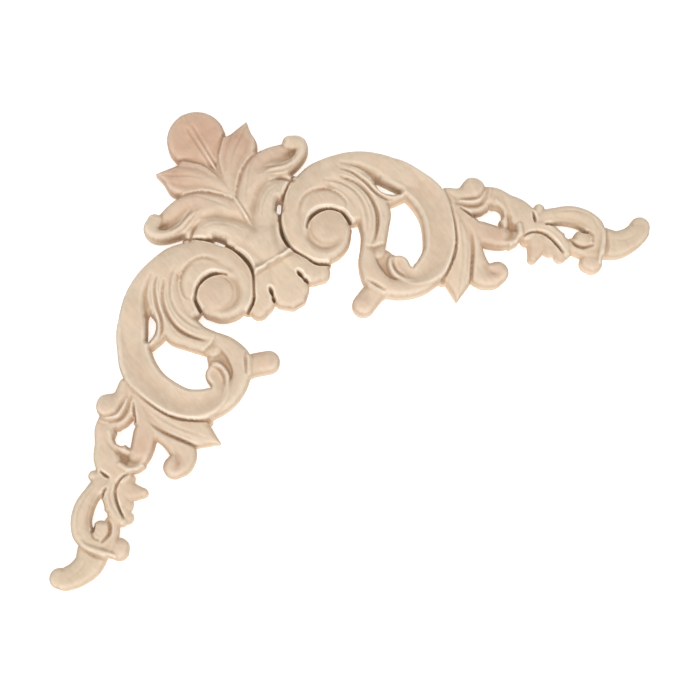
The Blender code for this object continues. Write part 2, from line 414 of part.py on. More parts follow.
def crossings(marks, inside):
    """Where the outline crosses the grid lines, keyed by (i, j, axis)."""
    found = {}
    for axis in (0, 1):
        here = inside[:-1, :] if axis == 0 else inside[:, :-1]
        there = inside[1:, :] if axis == 0 else inside[:, 1:]
        for i, j in zip(*np.nonzero((here > 0) != (there > 0))):
            t = here[i, j] / (here[i, j] - there[i, j])
            t = min(max(t, 0.1), 0.9) * GRID
            a, b = marks[i], marks[j]
            found[(i, j, axis)] = (a + t, b) if axis == 0 else (a, b + t)
    return found


def eased(marks, inside, height, outline):
    """The face lowered to a rounded shoulder along the outline."""
    tree = kdtree.KDTree(len(outline))
    for number, (a, b) in enumerate(outline.values()):
        tree.insert((a, b, 0), number)
    tree.balance()
    for i, j in zip(*np.nonzero(inside > 0)):
        far = tree.find((marks[i], marks[j], 0))[2]
        rise = height[i, j] - EDGE
        if far < SHOULDER and rise > 0:
            height[i, j] = EDGE + rise * (1 - (1 - far / SHOULDER) ** 2) ** 0.5
    return np.maximum(height, FLOOR)


def face_sheet():
    """The carved face as one open sheet: vertices and triangles."""
    marks, inside, height = carved_field()
    outline = crossings(marks, inside)
    height = eased(marks, inside, height, outline)
    verts, number = [], {}

    def vertex(key):
        if key not in number:
            number[key] = len(verts)
            if len(key) == 3:
                a, b = outline[key]
                i, j, axis = key
                other = (i + 1, j) if axis == 0 else (i, j + 1)
                node = (i, j) if inside[i, j] > 0 else other
                z = min(EDGE, height[node])
            else:
                a, b, z = marks[key[0]], marks[key[1]], height[key]
            verts.append(((a - ORIGIN) * MM, (ORIGIN - b) * MM, z * MM))
        return number[key]

    faces = []
    wood = inside > 0
    touched = wood[:-1, :-1] | wood[1:, :-1] | wood[1:, 1:] | wood[:-1, 1:]
    for i, j in zip(*np.nonzero(touched)):
        corners = [(i, j), (i, j + 1), (i + 1, j + 1), (i + 1, j)]
        sides = [(i, j, 1), (i, j + 1, 0), (i + 1, j, 1), (i, j, 0)]
        solid = [wood[c] for c in corners]
        if all(solid):
            z = [height[c] for c in corners]
            turn = 0 if abs(z[0] - z[2]) < abs(z[1] - z[3]) else 1
            c = [vertex(corners[(k + turn) % 4]) for k in range(4)]
            faces += [(c[0], c[1], c[2]), (c[0], c[2], c[3])]
            continue
        if solid in ([True, False, True, False], [False, True, False, True]):
            for k in range(4):
                if solid[k]:
                    faces.append((vertex(sides[k - 1]), vertex(corners[k]), vertex(sides[k])))
            continue
        ring = []
        for k in range(4):
            if solid[k]:
                ring.append(vertex(corners[k]))
            if solid[k] != solid[(k + 1) % 4]:
                ring.append(vertex(sides[k]))
        faces += [(ring[0], ring[k], ring[k + 1]) for k in range(1, len(ring) - 1)]
    return verts, faces


def thinned(verts, faces, target):
    """The sheet as a mesh with about the target number of triangles, fine where it curves."""
    mesh = bpy.data.meshes.new("face")
    mesh.from_pydata(verts, [], faces)
    sheet = bpy.data.objects.new("face", mesh)
    bpy.context.collection.objects.link(sheet)
    thin = sheet.modifiers.new("thin", "DECIMATE")
    thin.ratio = min(1.0, target / len(faces))
    seen = sheet.evaluated_get(bpy.context.evaluated_depsgraph_get())
    result = bmesh.new()
    result.from_mesh(seen.to_mesh())
    seen.to_mesh_clear()
    bpy.data.objects.remove(sheet)
    bpy.data.meshes.remove(mesh)
    return result


def close_solid(solid):
    """Walls dropped from the outline to the flat back, and the back itself."""
    rim = [edge for edge in solid.edges if edge.is_boundary]
    dropped = bmesh.ops.extrude_edge_only(solid, edges=rim)["geom"]
    low = [part for part in dropped if isinstance(part, bmesh.types.BMVert)]
    for vert in low:
        vert.co.z = 0.0
    low_edges = [part for part in dropped if isinstance(part, bmesh.types.BMEdge)
                 and part.is_boundary]
    bmesh.ops.triangle_fill(solid, edges=low_edges, use_beauty=True, normal=(0, 0, -1))
    bmesh.ops.triangulate(solid, faces=[face for face in solid.faces if len(face.verts) > 3])
    bmesh.ops.recalc_face_normals(solid, faces=solid.faces)


def wood():
    """Raw, pale, close-grained wood."""
    material = bpy.data.materials.new("raw_wood")
    material.use_nodes = True
    shader = material.node_tree.nodes["Principled BSDF"]
    shader.inputs["Base Color"].default_value = WOOD_COLOUR
    shader.inputs["Roughness"].default_value = 0.72
    shader.inputs["Metallic"].default_value = 0.0
    return material


def corner_onlay():
    """The whole onlay, carved from one piece."""
    solid = thinned(*face_sheet(), FACE_TRIANGLES)
    close_solid(solid)
    mesh = bpy.data.meshes.new("corner_onlay")
    solid.to_mesh(mesh)
    solid.free()
    mesh.materials.append(wood())
    mesh.shade_smooth()
    mesh.set_sharp_from_angle(angle=SHARP)
    onlay = bpy.data.objects.new("corner_onlay", mesh)
    bpy.context.collection.objects.link(onlay)
    return onlay


for old in list(bpy.data.objects):
    bpy.data.objects.remove(old, do_unlink=True)
corner_onlay()
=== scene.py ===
"""Looks of the carved wooden corner onlay: fine carving, raw wood, soft studio light.

The piece keeps the solid's form and place: its plan numbers are the same, in millimetres
from the outer corner, and the carving is read on a finer grid and sanded.
"""

import math

import bmesh
import bpy
import numpy as np
from mathutils import Matrix, Vector, kdtree


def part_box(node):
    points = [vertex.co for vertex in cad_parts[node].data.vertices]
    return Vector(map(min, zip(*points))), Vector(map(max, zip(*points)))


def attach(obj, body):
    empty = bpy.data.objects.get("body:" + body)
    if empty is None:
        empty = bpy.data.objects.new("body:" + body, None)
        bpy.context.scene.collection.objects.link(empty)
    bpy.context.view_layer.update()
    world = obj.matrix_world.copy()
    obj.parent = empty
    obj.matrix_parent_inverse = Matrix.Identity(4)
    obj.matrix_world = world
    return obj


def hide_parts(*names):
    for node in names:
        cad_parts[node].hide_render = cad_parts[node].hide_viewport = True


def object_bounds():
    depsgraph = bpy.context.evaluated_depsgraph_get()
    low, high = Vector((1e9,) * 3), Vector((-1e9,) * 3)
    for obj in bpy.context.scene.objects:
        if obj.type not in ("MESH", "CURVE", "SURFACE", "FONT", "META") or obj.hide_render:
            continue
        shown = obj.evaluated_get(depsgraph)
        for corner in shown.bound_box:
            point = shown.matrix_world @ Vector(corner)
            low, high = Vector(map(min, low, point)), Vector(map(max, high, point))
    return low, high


# Driving dimensions, in millimetres
MM = 0.001
LEG = 150.0          # each arm, from the outer corner to the end of its tail
EDGE = 3.4           # thickness at the outline, where the rounded shoulder ends
SHOULDER = 1.7       # width of the rounded shoulder inside the outline
FLANK = 4.5          # fall of a form's side beyond its own edge, per millimetre
CUT_WALL = 16.0      # rise of a sunk channel's sides, per millimetre
GROOVE_SPREAD = 1.5  # reach of a carved line's sides, as a share of its half width
SPAN_STEPS = 8       # points read from the smooth curve between two stations
SIDE_REACH = 2.0     # how far a form's sides are followed past its widest station
CUT_FLAT = 0.6       # flat share of a sunk channel's half width
LEAST_WOOD = 0.8     # least thickness left under a deep groove
ORIGIN = 35.0        # the origin lies this far from both outer sides of the square

# The grid that the carving is read on, in millimetres
GRID = 0.29          # its spacing
MARGIN = 1.5         # empty border around the square
OUTSIDE = -9.0       # inside distance of a point that no form reaches
OFF_GRID = 0.1       # share of a cell that an outline point keeps from the cell's corners
WALL_LEVELS = (0.35, 0.0)   # rows of the wall below the outline; the last is the back
SHARP = 0.9          # edges that turn more than this, in radians, are shaded sharp

# How channels are told from faces, for their painted shade: the wood's height about them, near by and
# further off
NEAR_CREASE = 0.55   # widths of the two neighbourhoods
WIDE_CREASE = 3.0
NEAR_SHARE = 3.0     # how much each adds to a channel's painted shade, per millimetre of depth
WIDE_SHARE = 0.9
RIM_CLEAR = 0.8      # the painted shade fades out over this distance from the outline

# Colours of the wood, linear
PALE = (0.775, 0.615, 0.455, 1)
GREY = (0.70, 0.555, 0.41, 1)
ROSY = (0.66, 0.41, 0.285, 1)
STRAW = (0.70, 0.555, 0.395, 1)
STREAK = (0.66, 0.49, 0.35, 1)
FIBRE = (0.58, 0.41, 0.28, 1)
# Painted shade, mixed into the wood in its channels
SHADE_BROWN = (0.36, 0.22, 0.12, 1)
# Painted highlight, mixed into the wood on its ridges
HIGHLIGHT = (0.98, 0.87, 0.73, 1)

# Grain of the wood. Each noise has its cells per metre, its detail, and the factor on its cells
# along the grain, which runs this many degrees clockwise of the X axis, seen from above.
GRAIN_TURN = 40.0
FIBRES = (2200.0, 2.0, 0.05)
PORES = (1300.0, 1.0, 0.09)
RINGS = (230.0, 2.0, 0.10)
GOUGES = (420.0, 1.0, 1.0)
MOTTLE = (45.0, 2.0, 1.0)
PATCHES = (150.0, 1.0, 0.6)
STROKES = (900.0, 1.0, 0.4)
PATCH_SWING = 0.12   # how far patches, gouge marks and strokes lighten and darken the wood
GOUGE_SWING = 0.14
STROKE_SWING = 0.16
CREASE_GAIN = 0.62   # a channel's share of the painted shade brown is MOST * (GAIN * darkness) ** POWER
CREASE_POWER = 0.8
CREASE_MOST = 0.68
PROUD_GAIN = 3.3     # a ridge's share of the painted highlight colour, per millimetre above its surroundings
ROUGHNESS = 0.68
SPECULAR = 0.35

# Stage, in metres and watts
FLOOR_SIZE = 12.0
FLOOR_GAP = 0.0001   # the surface lies this far under the onlay
FLOOR_WHITE = (0.93, 0.93, 0.93, 1)
FLOOR_ROUGHNESS = 0.9
FLOOR_GLOW = 0.42    # glow of the surface about the onlay
FAR_GLOW = 0.85      # and well away from it
GLOW_RISE = (0.3, 1.5)   # distances between which the glow rises
WHITE = (1, 1, 1, 1)
SKY = 0.345          # strength of the surroundings
KEY_PLACE = (0.22, -0.82, 0.62)   # places of the lamps, from the onlay's centre
KEY_SIZE = 0.5
KEY_POWER = 4.8
TOP_PLACE = (-0.1, 0.05, 1.3)
TOP_SIZE = 0.9
TOP_POWER = 8.5

# Camera: its place, the point that it looks at, its roll in degrees, lens and sensor in mm
EYE = (0.0364, -0.1186, 0.5191)
AIM = (0.0345, -0.0261, 0.004)
ROLL = 12.35
LENS = 90.0
SENSOR = 36.0
CLIP_NEAR = 0.01
CLIP_FAR = 10.0


def rounded(u):
    """A full, convex section."""
    return (1.0 - u * u) ** 0.7


def flattened(u):
    """A nearly flat top with eased shoulders."""
    return (1.0 - u ** 4) ** 0.8


def dished(u):
    """A hollow face between two raised rims."""
    return (1.0 - u ** 8) ** 0.8 * (1.0 - 0.8 * (1.0 - u * u) ** 1.5)


# A form is (kind, section, drop, lean, flat ends, stations).
# A station is (a, b, half width, level): a runs along the arm and b across it, both from the
# outer corner of the square. Drop is how far a form's edges lie below the crest of its section.
def raised(section, stations, drop=1.6, lean=0.0, flat=False):
    """Wood that stands up to its stations' levels, with the given section across it."""
    return ("raised", section, drop, lean, flat, np.array(stations, float))


def cut(stations):
    """A channel sunk to its stations' levels."""
    return ("cut", None, 0.0, 0.0, False, np.array(stations, float))


def groove(stations):
    """A line carved to its stations' depths below the face that it crosses."""
    return ("groove", None, 0.0, 0.0, False, np.array(stations, float))


def stepped(stations):
    """An edge that overlaps the wood on its left, which is sunk there by the stations' depths."""
    return ("stepped", None, 0.0, 0.0, False, np.array(stations, float))


def pierced(stations):
    """An opening right through, as wide as its stations; their levels are not used."""
    return ("pierced", None, 0.0, 0.0, False, np.array(stations, float))


# Low wood that closes the bottoms of the deep grooves
BED = [
    raised(flattened, [(37.4, 12.8, 2.2, 6.8), (37.8, 16.4, 2.6, 7.2)], drop=0.6),
    raised(flattened, [(40.6, 13.6, 0.9, 3.2), (39.4, 17, 2.0, 3.2), (38.9, 23.5, 2.2, 3.2),
                       (40, 28, 2.2, 3.2), (41.7, 32, 2.2, 3.2), (44.5, 35.2, 2.4, 3.2),
                       (50, 37.0, 2.4, 3.2), (56.2, 37.0, 1.8, 3.2)], drop=0.2),
    raised(flattened, [(51.5, 24.5, 5.4, 3.2), (54.5, 27.0, 6.6, 3.2)], drop=0.2),
    raised(flattened, [(57.0, 22.0, 3.0, 3.2), (59.8, 22.0, 2.0, 3.2)], drop=0.2),
    raised(flattened, [(48.0, 16.0, 3.6, 7.4), (58.0, 15.4, 3.6, 7.4)], drop=0.2),
    raised(flattened, [(89.4, 12, 1.4, 3.6), (92.0, 17, 1.8, 3.6), (93.2, 23, 2.2, 3.6),
                       (93.0, 29, 2.0, 3.6), (91.8, 33.6, 1.4, 3.6)], drop=0.2),
    raised(flattened, [(96.5, 7.5, 3.0, 3.2), (95.0, 10.5, 2.0, 3.2), (93.5, 11.6, 1.4, 3.2)],
           drop=0.2),
    raised(flattened, [(114.6, 8.0, 2.2, 3.0), (115.0, 13.0, 2.2, 3.0), (120, 14.4, 2.6, 3.0),
                       (124.4, 15.8, 2.2, 3.0)], drop=0.2),
    raised(flattened, [(112.6, 7.2, 2.2, 4.6), (117.6, 7.2, 2.4, 4.6)], drop=0.2),
]

SCROLL = [
    raised(flattened, [(51.5, 9.4, 5.0, 8.8), (55.6, 6.8, 4.9, 8.6), (60.6, 4.8, 4.5, 8.4),
                       (66.5, 4.3, 4.3, 8.2), (71.5, 5.2, 4.2, 7.8), (76.6, 7.4, 3.6, 7.2),
                       (81.0, 10.6, 2.2, 6.5)], drop=1.2),
    raised(dished, [(66.5, 4.4, 4.2, 8.2), (71, 5.0, 4.7, 8.4), (76, 6.8, 5.0, 8.4),
                    (81.3, 9.7, 5.4, 8.4), (85.3, 14.7, 5.0, 8.4), (87.8, 20.5, 5.0, 8.4),
                    (88.6, 26, 4.8, 8.2), (87.1, 31.2, 4.5, 8.0), (83.8, 34.5, 3.6, 7.8),
                    (80.6, 34.6, 2.9, 7.4), (77.9, 32.6, 3.3, 7.4)], drop=1.9),
    raised(rounded, [(87, 7.4, 1.8, 6.6), (90.5, 10.8, 1.6, 6.6), (92.6, 16, 1.0, 6.2)]),
]

VOLUTE = [
    raised(rounded, [(55.6, 6.8, 4.7, 8.6), (52.2, 8.5, 4.7, 8.8), (47.6, 12.4, 4.9, 9.0),
                     (44.6, 18, 4.8, 9.0), (44.0, 23.4, 4.5, 9.0), (44.9, 28, 4.2, 9.0),
                     (47.4, 32, 3.8, 8.8), (50.9, 33.9, 3.4, 8.6), (54.6, 34.1, 3.1, 8.4),
                     (57.6, 32.6, 2.8, 8.2), (59.4, 29.6, 2.5, 8.0), (59.4, 26, 2.3, 7.8)],
           drop=1.9, lean=0.35),
    raised(flattened, [(46.8, 28.5, 1.6, 8.4), (46.4, 23.5, 2.4, 8.8), (48.8, 19.6, 3.0, 8.8),
                       (53.4, 18.0, 3.2, 8.8), (58, 19.2, 2.8, 8.4), (61, 21.4, 2.2, 7.8)],
           drop=1.0),
    raised(rounded, [(54.9, 27.0, 6.2, 8.8), (55.1, 27.0, 6.2, 8.8)], drop=1.8),
    groove([(48.9, 28.6, 0.8, 0.4), (49.7, 31.2, 1.4, 1.5), (52.4, 33.0, 1.5, 1.8),
            (55.6, 32.9, 1.5, 1.7), (58.4, 30.8, 1.3, 1.1), (59.8, 27.8, 0.8, 0.2)]),
    cut([(48.3, 28.6, 0.2, 6.8), (48.2, 26.6, 0.3, 5.4), (48.9, 24.2, 0.6, 3.4),
         (50.8, 22.1, 0.55, 3.0), (53.6, 20.9, 0.3, 4.2), (56.2, 20.9, 0.3, 4.2),
         (58.0, 21.3, 0.5, 2.8), (60.4, 23.3, 0.6, 2.0)]),
    stepped([(58.6, 20.2, 1.0, 0.2), (58.0, 17.9, 1.6, 1.0), (55.8, 16.2, 1.8, 1.3),
             (52.8, 15.3, 1.8, 1.3), (49.6, 15.7, 1.8, 1.3), (46.8, 17.3, 1.8, 1.3),
             (45.0, 19.6, 1.8, 1.1), (44.4, 22.6, 1.6, 0.7), (44.6, 25.6, 1.4, 0.2)]),
    groove([(44.6, 20.5, 0.8, 0.2), (45.4, 25.0, 1.6, 0.7), (46.6, 29.2, 1.6, 0.7),
            (49.0, 31.8, 1.0, 0.3)]),
    cut([(40.2, 14.4, 0.2, 6.0), (39.3, 19.0, 0.3, 4.0), (39.0, 23.5, 0.5, 2.4),
         (39.9, 28, 0.35, 3.6), (41.6, 32, 0.6, 2.0), (44.0, 34.8, 0.5, 2.4),
         (46.6, 36.2, 0.25, 3.8), (50, 37.2, 0.2, 4.2), (53.6, 38.0, 0.45, 2.2),
         (57.4, 37.2, 0.4, 2.0)]),
    pierced([(38.3, 22.4, 0.65, 0), (38.7, 24.9, 0.7, 0)]),
]

FRONDS = [
    raised(rounded, [(53, 7.0, 0.6, 8.6), (58, 7.6, 1.2, 8.5), (62.4, 9.4, 1.7, 8.2),
                     (66, 12.2, 1.8, 7.8), (70, 13.3, 1.9, 7.4), (74.0, 11.6, 1.1, 7.0)], drop=0.9),
    raised(rounded, [(52.5, 9.4, 1.0, 8.8), (58, 9.9, 1.6, 8.7), (62, 11.6, 2.0, 8.4),
                     (66, 14.6, 2.4, 8.0), (69.2, 17.4, 2.6, 7.6), (70.0, 22, 2.4, 7.4),
                     (70.4, 27, 2.3, 7.0), (70.4, 30, 2.4, 6.6)], drop=1.0),
    raised(rounded, [(52.5, 12.8, 1.6, 8.8), (57, 13.4, 2.4, 8.8), (61.4, 15.4, 3.2, 8.6),
                     (64.8, 19.4, 3.6, 8.2), (66.8, 24.5, 2.6, 7.8), (67.4, 29, 2.2, 7.4),
                     (68.4, 34.0, 2.6, 7.4), (71.6, 38.4, 3.2, 7.4), (76.4, 40.0, 2.6, 7.2),
                     (81.4, 39.2, 2.5, 7.0), (85.9, 37.0, 2.3, 6.8), (89.5, 34.1, 1.6, 6.4)], drop=1.1),
    raised(rounded, [(74.8, 39.8, 3.0, 6.6), (72.3, 42.5, 3.4, 6.2), (70.3, 46.7, 3.4, 6.6)]),
    raised(flattened, [(73.0, 31.6, 3.0, 5.0), (75.0, 33.4, 3.9, 4.6), (78.0, 37.2, 3.0, 5.0),
                       (84.0, 37.0, 2.4, 5.6)], drop=0.4),
    groove([(53.8, 6.6, 0.5, 0.5), (58.8, 6.3, 0.8, 1.4), (62.6, 7.2, 1.1, 2.2),
            (65.6, 8.4, 1.2, 2.6)]),
    groove([(54.0, 8.4, 0.4, 0.7), (57.0, 8.5, 0.5, 1.4), (60.0, 9.6, 0.55, 1.8),
            (62.6, 10.8, 0.6, 2.0), (65, 12.3, 0.6, 2.2), (67.4, 13.4, 0.6, 2.0),
            (70.0, 13.9, 0.5, 1.5), (72.2, 13.6, 0.4, 0.4)]),
    groove([(54.6, 10.8, 0.4, 0.7), (58.8, 11.3, 0.5, 1.5), (62.0, 12.7, 0.55, 1.8),
            (65.2, 15.2, 0.6, 2.2), (67.4, 18.2, 0.65, 2.5), (68.6, 21.6, 0.65, 2.4),
            (69.0, 25.6, 0.5, 1.4), (68.6, 28.4, 0.4, 0.5)]),
    groove([(50.0, 13.1, 0.4, 0.3), (53.4, 12.6, 0.45, 0.9), (57.4, 13.2, 0.45, 1.0),
            (60.6, 14.8, 0.45, 1.0), (63.4, 17.6, 0.45, 0.9), (65.2, 21.4, 0.45, 0.7),
            (66.0, 25.0, 0.4, 0.2)]),
    stepped([(72.6, 26.6, 3.4, 1.9), (71.2, 27.8, 3.6, 1.9), (69.4, 28.9, 3.2, 1.6),
             (67.6, 29.4, 2.2, 0.8), (66.2, 29.4, 1.2, 0.2)]),
    groove([(69.6, 39.5, 0.4, 0.8), (72.4, 40.3, 0.5, 1.7), (75.4, 41.2, 0.4, 0.9)]),
    raised(rounded, [(75.0, 30.2, 0.3, 5.6), (75.0, 32.0, 0.6, 7.2), (75.7, 34.0, 0.6, 7.2),
                     (77.6, 35.9, 0.6, 7.2), (80.4, 36.6, 0.5, 7.0), (83.4, 36.2, 0.4, 6.8)], drop=0.8),
    groove([(75.8, 30.6, 0.4, 0.6), (76.3, 33.0, 0.45, 1.5), (77.9, 34.7, 0.45, 1.5),
            (80.0, 35.5, 0.4, 0.8)]),
    pierced([(65.5, 9.6, 0.3, 0), (67.6, 10.3, 1.15, 0), (70.4, 10.6, 1.0, 0),
             (72.9, 10.4, 0.3, 0)]),
]

PALMETTE = [
    raised(flattened, [(9.1, 9.1, 9.0, 6.4), (11.4, 11.4, 8.4, 6.8), (13.4, 13.4, 6.6, 7.2),
                       (16, 16, 4.8, 7.6), (19.5, 19.5, 3.4, 8.0), (24, 24, 2.2, 8.4)], drop=1.0),
    groove([(16.4, 4.6, 1.4, 0.4), (16.0, 8, 2.0, 0.7), (15.6, 12.5, 2.0, 0.9), (17.6, 16.6, 1.6, 0.9),
            (19.8, 19.6, 0.9, 0.5)]),
    groove([(7.0, 5.7, 0.35, 0.5), (10.8, 9.6, 0.35, 0.7), (14.9, 13.8, 0.4, 0.9),
            (17.9, 16.8, 0.5, 1.7), (20.2, 19.2, 0.4, 1.0)]),
    raised(flattened, [(22.4, -0.1, 0.2, 4.8), (22.3, 3.0, 2.4, 5.8), (22.4, 6.4, 5.2, 6.8),
                    (21.8, 9.4, 5.6, 7.6), (21.0, 12.5, 4.6, 8.0), (21.6, 16, 4.0, 8.4),
                    (23.0, 20, 3.0, 8.8), (25.2, 25, 1.6, 9.0)], drop=1.5, lean=0.35),
    stepped([(20.2, 19.4, 0.7, 0.3), (18.5, 16.6, 1.3, 0.9), (17.0, 13.0, 1.5, 1.1),
             (16.9, 9.0, 1.5, 1.3), (17.1, 6.0, 1.3, 1.8), (17.4, 4.6, 1.0, 2.0)]),
    groove([(19.2, 4.9, 0.6, 0.3), (18.8, 9.0, 1.0, 0.5), (18.8, 13.0, 1.0, 0.5), (20.2, 17.0, 0.6, 0.2)]),
    groove([(24.6, 4.6, 0.8, 0.2), (24.6, 9.6, 1.6, 0.7), (23.6, 14.0, 1.6, 0.8), (23.6, 19.0, 1.2, 0.7),
            (24.4, 22.6, 0.8, 0.4)]),
    raised(flattened, [(37.3, 5.9, 3.3, 5.2), (33.8, 10.0, 5.1, 7.2), (31.0, 14.6, 6.2, 8.6),
                       (30.8, 20, 6.3, 9.2), (32.0, 26, 6.2, 9.8), (35, 33, 5.0, 10.2)], drop=1.3),
    stepped([(28.6, 8.0, 1.8, 1.0), (27.0, 10.2, 2.2, 1.5), (25.2, 14.4, 2.2, 1.6),
             (24.8, 20.0, 2.0, 1.5), (25.4, 24.6, 1.2, 1.0), (26.6, 26.6, 0.6, 0.2)]),
    raised(rounded, [(36.8, 3.1, 2.3, 7.4), (39.5, 2.9, 2.5, 7.8), (41.0, 5.0, 1.9, 7.8),
                     (40.2, 8.4, 1.6, 7.8), (37.6, 11.6, 1.9, 8.4), (34.0, 14.0, 1.8, 8.9),
                     (30.8, 16.4, 1.2, 9.0)], drop=1.6),
    raised(rounded, [(39.0, 16.8, 1.6, 8.0), (36.0, 19.4, 2.4, 9.5), (34.8, 24.5, 2.8, 10.1),
                     (35.4, 30.0, 3.4, 10.2), (38.0, 35.0, 3.4, 10.2)], drop=1.2),
    groove([(37.9, 6.8, 1.5, 0.8), (35.6, 8.9, 2.0, 0.9), (32.4, 11.0, 2.0, 0.7), (29.8, 14.6, 1.6, 0.3)]),
    groove([(36.4, 7.2, 0.8, 0.3), (38.2, 6.4, 0.9, 1.1), (39.2, 5.4, 0.6, 0.5)]),
    groove([(34.0, 17.4, 0.3, 0.4), (35.4, 16.4, 0.4, 1.0), (37.4, 15.4, 0.5, 1.5), (40.8, 15.2, 0.6, 1.7)]),
    groove([(33.2, 17.0, 1.0, 0.6), (31.6, 21.0, 1.7, 1.3), (31.3, 25.0, 1.8, 1.1),
            (31.4, 28.0, 1.4, 0.3)]),
]

NECK = [
    raised(rounded, [(30.0, 30.0, 2.6, 8.6), (32.4, 32.4, 5.2, 9.8), (34.4, 34.4, 7.6, 10.8),
                     (36.6, 36.6, 7.2, 11.0), (40.6, 40.6, 6.2, 9.8)], drop=3.0, flat=True),
    groove([(31.4, 25.0, 1.4, 0.4), (31.2, 28.0, 1.8, 1.2), (31.8, 30.6, 1.8, 1.4),
            (33.2, 33.2, 1.3, 0.6)]),
    groove([(38.2, 27.0, 0.8, 0.2), (38.8, 30.6, 1.3, 0.9), (40.4, 34.4, 1.3, 0.9),
            (42.0, 37.4, 1.0, 0.3)]),
    raised(flattened, [(41, 41, 4.4, 8.8), (45.6, 45.6, 4.8, 7.4), (49.0, 49.0, 5.7, 6.4),
                       (50.9, 50.9, 3.4, 5.6), (51.7, 51.7, 1.9, 5.2)], drop=1.0, flat=True),
    raised(rounded, [(43.5, 38.8, 2.2, 9.0), (48, 39.9, 3.1, 8.2), (52.5, 40.8, 3.6, 7.0),
                     (55.4, 40.2, 3.0, 6.0)], drop=1.4),
    raised(rounded, [(40.9, 40.9, 0.45, 10.5), (41.9, 39.6, 0.4, 10.4), (43.4, 38.6, 0.6, 10.8),
                     (45.0, 36.6, 0.65, 10.5)], drop=1.4),
    groove([(41.9, 41.7, 0.4, 0.5), (44.2, 39.2, 0.4, 0.6), (46.2, 37.3, 0.4, 0.6)]),
    cut([(48.9, 42.0, 0.35, 2.4), (49.7, 42.5, 0.6, 1.4), (50.7, 43.2, 0.35, 2.8),
         (51.6, 43.7, 0.6, 1.4), (52.4, 44.1, 0.35, 2.2)]),
    raised(rounded, [(25.0, 25.0, 0.5, 9.4), (27.4, 27.4, 0.6, 10.2), (30.0, 30.0, 0.4, 10.4)], drop=0.8),
    groove([(27.0, 26.0, 0.35, 0.3), (30.6, 29.4, 0.35, 0.6), (31.2, 30.6, 0.35, 0.5)]),
]

HUSK = [
    raised(rounded, [(89.6, 10.6, 0.9, 6.8), (92.6, 16, 1.9, 6.8), (95.2, 21.5, 2.7, 6.6),
                     (96.2, 26.5, 3.3, 6.4), (96.2, 32.0, 4.3, 6.0), (97.4, 38.6, 0.3, 4.4)],
           drop=1.5),
    raised(rounded, [(91.5, 11.4, 0.8, 6.8), (95.6, 15.2, 1.7, 6.6), (98.8, 20, 2.0, 6.4),
                     (100.4, 25, 2.4, 6.2)], drop=1.1),
    raised(rounded, [(92.5, 11.6, 0.9, 6.6), (97.2, 15.8, 2.0, 6.4), (99.4, 21.5, 1.9, 6.2),
                     (102.0, 28.0, 4.0, 6.0), (105.6, 29.0, 3.6, 6.0), (107.4, 27.4, 3.2, 6.2)],
           drop=1.4),
    raised(rounded, [(106.6, 27.8, 3.4, 6.6), (107.4, 27.3, 3.4, 6.6)], drop=1.6),
    groove([(103.4, 26.6, 1.2, 0.5), (105.6, 28.0, 1.7, 1.4), (107.2, 28.0, 1.5, 1.0)]),
    cut([(88.6, 10.4, 0.2, 6.4), (91.2, 15.8, 0.3, 5.6), (93.0, 21.0, 0.35, 4.6),
         (93.4, 25.6, 0.4, 4.0), (92.7, 30.6, 0.35, 4.0), (91.4, 34.8, 0.3, 4.0)]),
    groove([(93.6, 13.4, 0.4, 0.4), (96.6, 17.4, 0.5, 1.1), (98.4, 22.0, 0.6, 1.9),
            (99.3, 27.0, 0.6, 2.4), (100.1, 32.2, 0.6, 2.2)]),
    groove([(92.6, 15.0, 0.4, 0.2), (94.8, 20.6, 0.5, 0.5), (96.2, 26.0, 0.5, 0.5),
            (96.8, 32.0, 0.4, 0.3), (97.2, 36.6, 0.3, 0.1)]),
]

